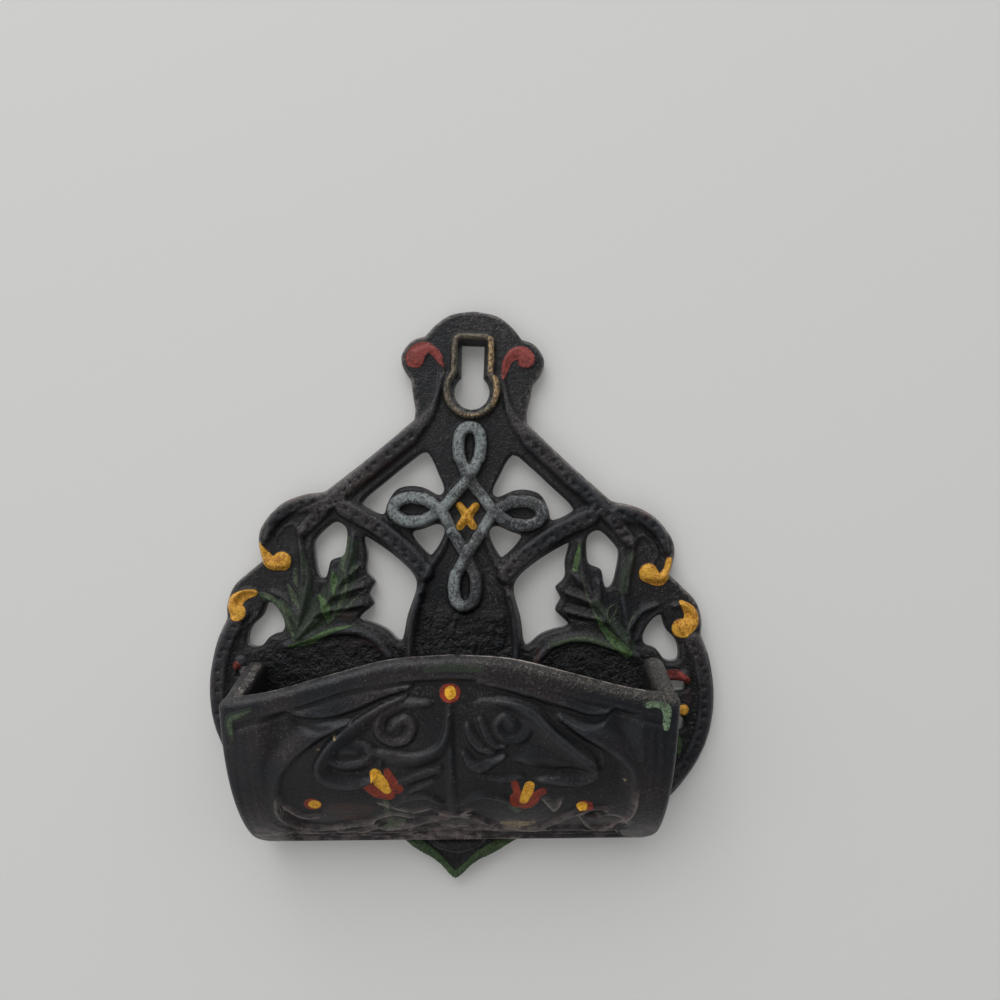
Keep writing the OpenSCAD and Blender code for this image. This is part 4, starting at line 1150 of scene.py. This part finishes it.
def enamelFinish(name, layers, ofPocket):
    material = bpy.data.materials.new(name)
    material.use_nodes = True
    g = Graph(material.node_tree)
    clouds, patches, grain = g.noise(14, 3), g.noise(2.2, 4), g.noise(0.9, 3)
    pits, fine = g.noise(0.6, 3, 0.7), g.noise(0.34, 2, 0.6)
    crest, rubAndGlow, lift = g.mark("crest"), g.mark("rubAndGlow"), g.mark("lift")
    colour = g.blend(clouds.step(0.36, 0.66), *enamel["black"])
    colour = g.blend(pits.step(0.46, 0.34) * 0.7, colour, enamel["deep"])
    # painted highlight: convex crests lighter
    colour = g.blend(crest.step(0.008, 0.05) * patches.step(0.3, 0.6) * 0.5, colour, enamel["crest"])
    # painted shade: low ground and the walls of the openings darker
    colour = g.blend(lift.step(0.75, 0.0) * 0.6, colour, enamel["deep"])
    dusty = (pits * 0.7 + fine * 0.7 + clouds * 0.4 + rubAndGlow * 0.05 - 0.95).step(0.0, 0.25)
    colour = g.blend(dusty * (0.4 if ofPocket else 0.65), colour, enamel["dust"])
    # painted shade: creases darker
    colour = g.blend(crest.step(-0.004, -0.04) * 0.7, colour, enamel["deep"])
    # painted shade: the walls of the holes and the pocket's inside darker
    within = g.mark("within")
    colour = g.blend(within * 0.75, colour, enamel["deep"])
    if ofPocket:
        colour = g.blend(rubAndGlow * 0.2, colour, enamel["maroon"])
    rough = 0.34 + 0.16 * grain + 0.2 * dusty + 0.15 * within
    raised = grain * 0.4 + pits * 0.5 + fine * 0.3
    for layer in layers:
        first, second, cover, rubbed = paints[layer]
        blur = 0.8 if layer == "rust" else 0.0
        shape = (g.mark(layer) + (patches - 0.5) * 0.5 + (fine - 0.5) * 0.3).step(-0.06 - blur, 0.14 + blur)
        bare = pits * 0.8 + fine * 0.6 - g.mark(layer) * 0.08 - 0.6 - 0.25 * (1 - rubbed)
        if layer == "cord":
            pitted = g.mark("pitted").step(-1.2, 0.8)
            bare, cover = bare + pitted * 0.2, cover - pitted * 0.5
        shape = shape * (1 - bare.step(0.0, 0.06) * 0.8) * cover
        tint = g.blend((patches * 0.3 + pits * 0.5 + fine * 0.4).step(0.54, 0.7), first, second)
        colour = g.blend(shape, colour, tint)
        rough = rough + shape * 0.1
        raised = raised + shape * 0.4
    if ofPocket:
        sand = (g.mark("bare") * 0.9 + grain * 0.7 + patches * 0.5 - 0.9).step(0.0, 0.7)
        grit = g.blend((pits * 0.5 + fine * 0.7).step(0.56, 0.8), *enamel["sand"])
        colour = g.blend(sand * 0.85, colour, grit)
        rough = rough + sand * 0.2
        raised = raised + sand * fine * 1.5
    else:
        coarse = g.mark("coarse")
        colour = g.blend(coarse * 0.35, colour, enamel["deep"])
        raised = raised + coarse * g.noise(2.0, 4, 0.6) * 2
    streaks = g.noise(1.5, 4, 0.6, (0.3, 1, 1))
    # chipped to the iron on crests; at the foot also painted highlight streaks
    chipped = (crest * 3.5 + rubAndGlow * streaks * 0.9 + g.noise(1.1, 4) - 1.42).step(0.0, 0.45)
    metal = g.blend((grain * 0.5 + fine * 0.5).step(0.4, 0.62), *enamel["wearAndHighlight"])
    colour = g.blend(chipped * 0.6, colour, metal)
    if ofPocket:
        # painted light: the foot lighter where bounced light falls
        footGlow = rubAndGlow * (patches * 0.6 + streaks * 0.4).step(0.46, 0.6) * 0.36
        colour = g.blend(footGlow, colour, enamel["footGlow"])
        litRidgeSide, apart = g.mark("litRidgeSide") + (grain - 0.5) * 0.35, g.mark("apart")
        beside = apart.step(1.95, 1.4)
        # painted shadow under each lit ridge
        ridgeShadow = litRidgeSide.step(-1.4, -0.15) * litRidgeSide.step(0.05, -0.05) * beside
        colour = g.blend(ridgeShadow * 0.85, colour, enamel["deep"])
        # painted glow above it
        ridgeGlow = litRidgeSide.step(1.9, 0.1) * litRidgeSide.step(-0.05, 0.05) * beside * streaks.step(0.3, 0.6)
        colour = g.blend(ridgeGlow * 0.4, colour, enamel["footGlow"])
        # painted highlight along the ridge
        ridgeHighlight = (litRidgeSide * litRidgeSide).step(0.12, 0.01) * apart.step(0.9, 0.5) * patches.step(0.26, 0.5)
        colour = g.blend(ridgeHighlight * 0.8, colour, enamel["edge"][0])
    # light edges: wear along the plate's outline, painted highlights with some wear along the pocket's
    # bottom, inner rim and corners
    edge = (g.mark("wearAndHighlight") + (grain - 0.5) * 0.6 + (fine - 0.5) * 0.4).step(-0.3, 0.35)
    edge = edge * patches.step(0.3, 0.56) * (0.75 if ofPocket else 0.4)
    colour = g.blend(edge, colour, g.blend((fine * 0.6 + grain * 0.4).step(0.38, 0.62), *enamel["edge"]))
    colour = g.blend(g.specks(1.5, 0.07, 0.22) * 0.6, colour, enamel["speck"])
    bump = g.add("ShaderNodeBump", None, {
        "Height": raised, "Strength": 1.0, "Distance": (0.2 if ofPocket else 0.4) * mm})
    shader = g.add("ShaderNodeBsdfPrincipled", None, {
        "Base Color": colour, "Roughness": rough, "Normal": bump, "Specular IOR Level": 0.42})
    g.node("ShaderNodeOutputMaterial", None, {"Surface": shader})
    return material


def ironFinish(name):
    material = bpy.data.materials.new(name)
    material.use_nodes = True
    g = Graph(material.node_tree)
    grain = g.noise(0.7, 4)
    colour = g.blend(g.noise(1.6, 3).step(0.35, 0.68), tone(46, 42, 40), tone(86, 72, 60))
    bump = g.add("ShaderNodeBump", None, {"Height": grain, "Strength": 0.6, "Distance": 0.15 * mm})
    shader = g.add("ShaderNodeBsdfPrincipled", None, {
        "Base Color": colour, "Roughness": 0.42 + 0.3 * grain, "Metallic": 0.6, "Normal": bump})
    g.node("ShaderNodeOutputMaterial", None, {"Surface": shader})
    return material


# worn enamel with painted highlights, glow and shade in its colour
plateFinish = enamelFinish("wornEnamelPlateWithPaintedLight", [
    "rust", "wash", "bead", "gold", "cord", "tipShade", "chalk", "sage", "green", "red", "yellow"], False)
pocketFinish = enamelFinish("wornEnamelPocketWithPaintedLight", [
    "rust", "wash", "tan", "sage", "mint", "ember", "litYellow"], True)
rivetFinish = ironFinish("hammeredIron")

plainPlate = buildPlate()
paths = bandPaths()
plateHammer = hammerTree()
applyTree(plainPlate, plateHammer, {**hammer, "Paths": paths, "Material": plateFinish})
bpy.data.objects.remove(paths)
setMarks(plainPlate, {"crest": crests(plainPlate)})
domedRivet = rivetTree()
leftRivet = buildRivet("left_domed_rivet", -1, domedRivet, rivetFinish)
rightRivet = buildRivet("right_domed_rivet", 1, domedRivet, rivetFinish)
matchPocket = buildPocket()
matchPocket.data.materials.append(pocketFinish)
setMarks(matchPocket, {"crest": crests(matchPocket)})
print("pieces made")

for piece, node, slot in (
        (plainPlate, "back_plate", "plate_enamel"), (matchPocket, "pocket", "pocket_enamel"),
        (leftRivet, "left_rivet", "rivet_iron"), (rightRivet, "right_rivet", "rivet_iron")):
    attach(piece, "root")
    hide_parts(node)


# Stage, light and camera

view = {
    "from": (7.14, -170.3, -24.1),  # mm in the plate's frame
    "roll": 1.906,  # degrees
    "lens": 27.0, "sensor": 36.0,
}
backdrop = {"half": 3.0, "gap": 0.4 * mm, "colour": (*tone(226, 224, 220), 1), "glow": 0.08}
# Each lamp's place in metres, size and power
lamps = {
    "skyLight": ((-0.25, -0.55, 0.75), 0.7, 4),
    "lowFill": ((-0.25, -0.7, -0.65), 0.7, 1.0),
    "backFill": ((0.2, 0.8, 0.3), 0.6, 5),
}


def addBackdrop():
    mesh = bpy.data.meshes.new("backdrop")
    half, gap = backdrop["half"], backdrop["gap"]
    corners = [(x * half, gap, z * half) for x, z in ((-1, -1), (1, -1), (1, 1), (-1, 1))]
    mesh.from_pydata(corners, [], [(0, 1, 2, 3)])
    sheet = bpy.data.objects.new("backdrop", mesh)
    bpy.context.scene.collection.objects.link(sheet)
    material = bpy.data.materials.new("paleBackdrop")
    material.use_nodes = True
    g = Graph(material.node_tree)
    pale = g.add("ShaderNodeBsdfPrincipled", None, {
        "Base Color": backdrop["colour"], "Roughness": 1.0, "Specular IOR Level": 0.0,
        "Emission Color": backdrop["colour"], "Emission Strength": backdrop["glow"]})
    clear = g.add("ShaderNodeBsdfTransparent")
    behind = g.add("ShaderNodeNewGeometry", None, None, "Backfacing")
    mixed = g.add("ShaderNodeMixShader", None, {0: behind, 1: pale, 2: clear})
    g.node("ShaderNodeOutputMaterial", None, {"Surface": mixed})
    mesh.materials.append(material)
    sheet.visible_shadow = False


def addLamp(name, place, aim, size, power):
    lamp = bpy.data.lights.new(name, "AREA")
    lamp.size, lamp.energy = size, power
    holder = bpy.data.objects.new(name, lamp)
    holder.location = place
    holder.rotation_euler = (Vector(aim) - Vector(place)).to_track_quat("-Z", "Y").to_euler()
    bpy.context.scene.collection.objects.link(holder)


def addCamera():
    data = bpy.data.cameras.new("camera")
    data.lens, data.sensor_width, data.sensor_fit = view["lens"], view["sensor"], "HORIZONTAL"
    data.clip_start, data.clip_end = 0.005, 20
    camera = bpy.data.objects.new("camera", data)
    bpy.context.scene.collection.objects.link(camera)
    level = Matrix.Rotation(math.radians(90), 4, "X")
    camera.matrix_world = Matrix.Translation(Vector(view["from"]) * mm) @ level @ Matrix.Rotation(
        math.radians(view["roll"]), 4, "Z")
    bpy.context.scene.camera = camera


addBackdrop()
centre = (0, 0, -0.045)
for name, (place, size, power) in lamps.items():
    addLamp(name, place, centre, size, power)
world = bpy.data.worlds.new("softRoom")
bpy.context.scene.world = world
world.use_nodes = True
g = Graph(world.node_tree)
aim = g.node("ShaderNodeSeparateXYZ", None, {0: g.add("ShaderNodeTexCoord", None, None, "Generated")})
x, y, z = (Wire(g, socket) for socket in aim.outputs)
over, ahead = (z * 0.8 - x * 0.35).step(-0.6, 0.9), (0 - y).step(0.7, 0.97)
daylight = (*tone(225, 228, 232), 1)
dark, room, sky = (g.add("ShaderNodeBackground", None, {"Color": daylight, "Strength": level})
                   for level in (0.08, 0.2, 1.5))
around = g.add("ShaderNodeMixShader", None, {0: over, 1: room, 2: sky})
lit = g.add("ShaderNodeMixShader", None, {0: ahead, 1: around, 2: dark})
# what is seen past the backdrop
plain = g.add("ShaderNodeBackground", None, {"Color": (*tone(214, 214, 212), 1), "Strength": 1.0})
seen = g.add("ShaderNodeLightPath", None, None, "Is Camera Ray")
shown = g.add("ShaderNodeMixShader", None, {0: seen, 1: lit, 2: plain})
g.node("ShaderNodeOutputWorld", None, {"Surface": shown})
bpy.context.scene.view_settings.view_transform = "Standard"
addCamera()
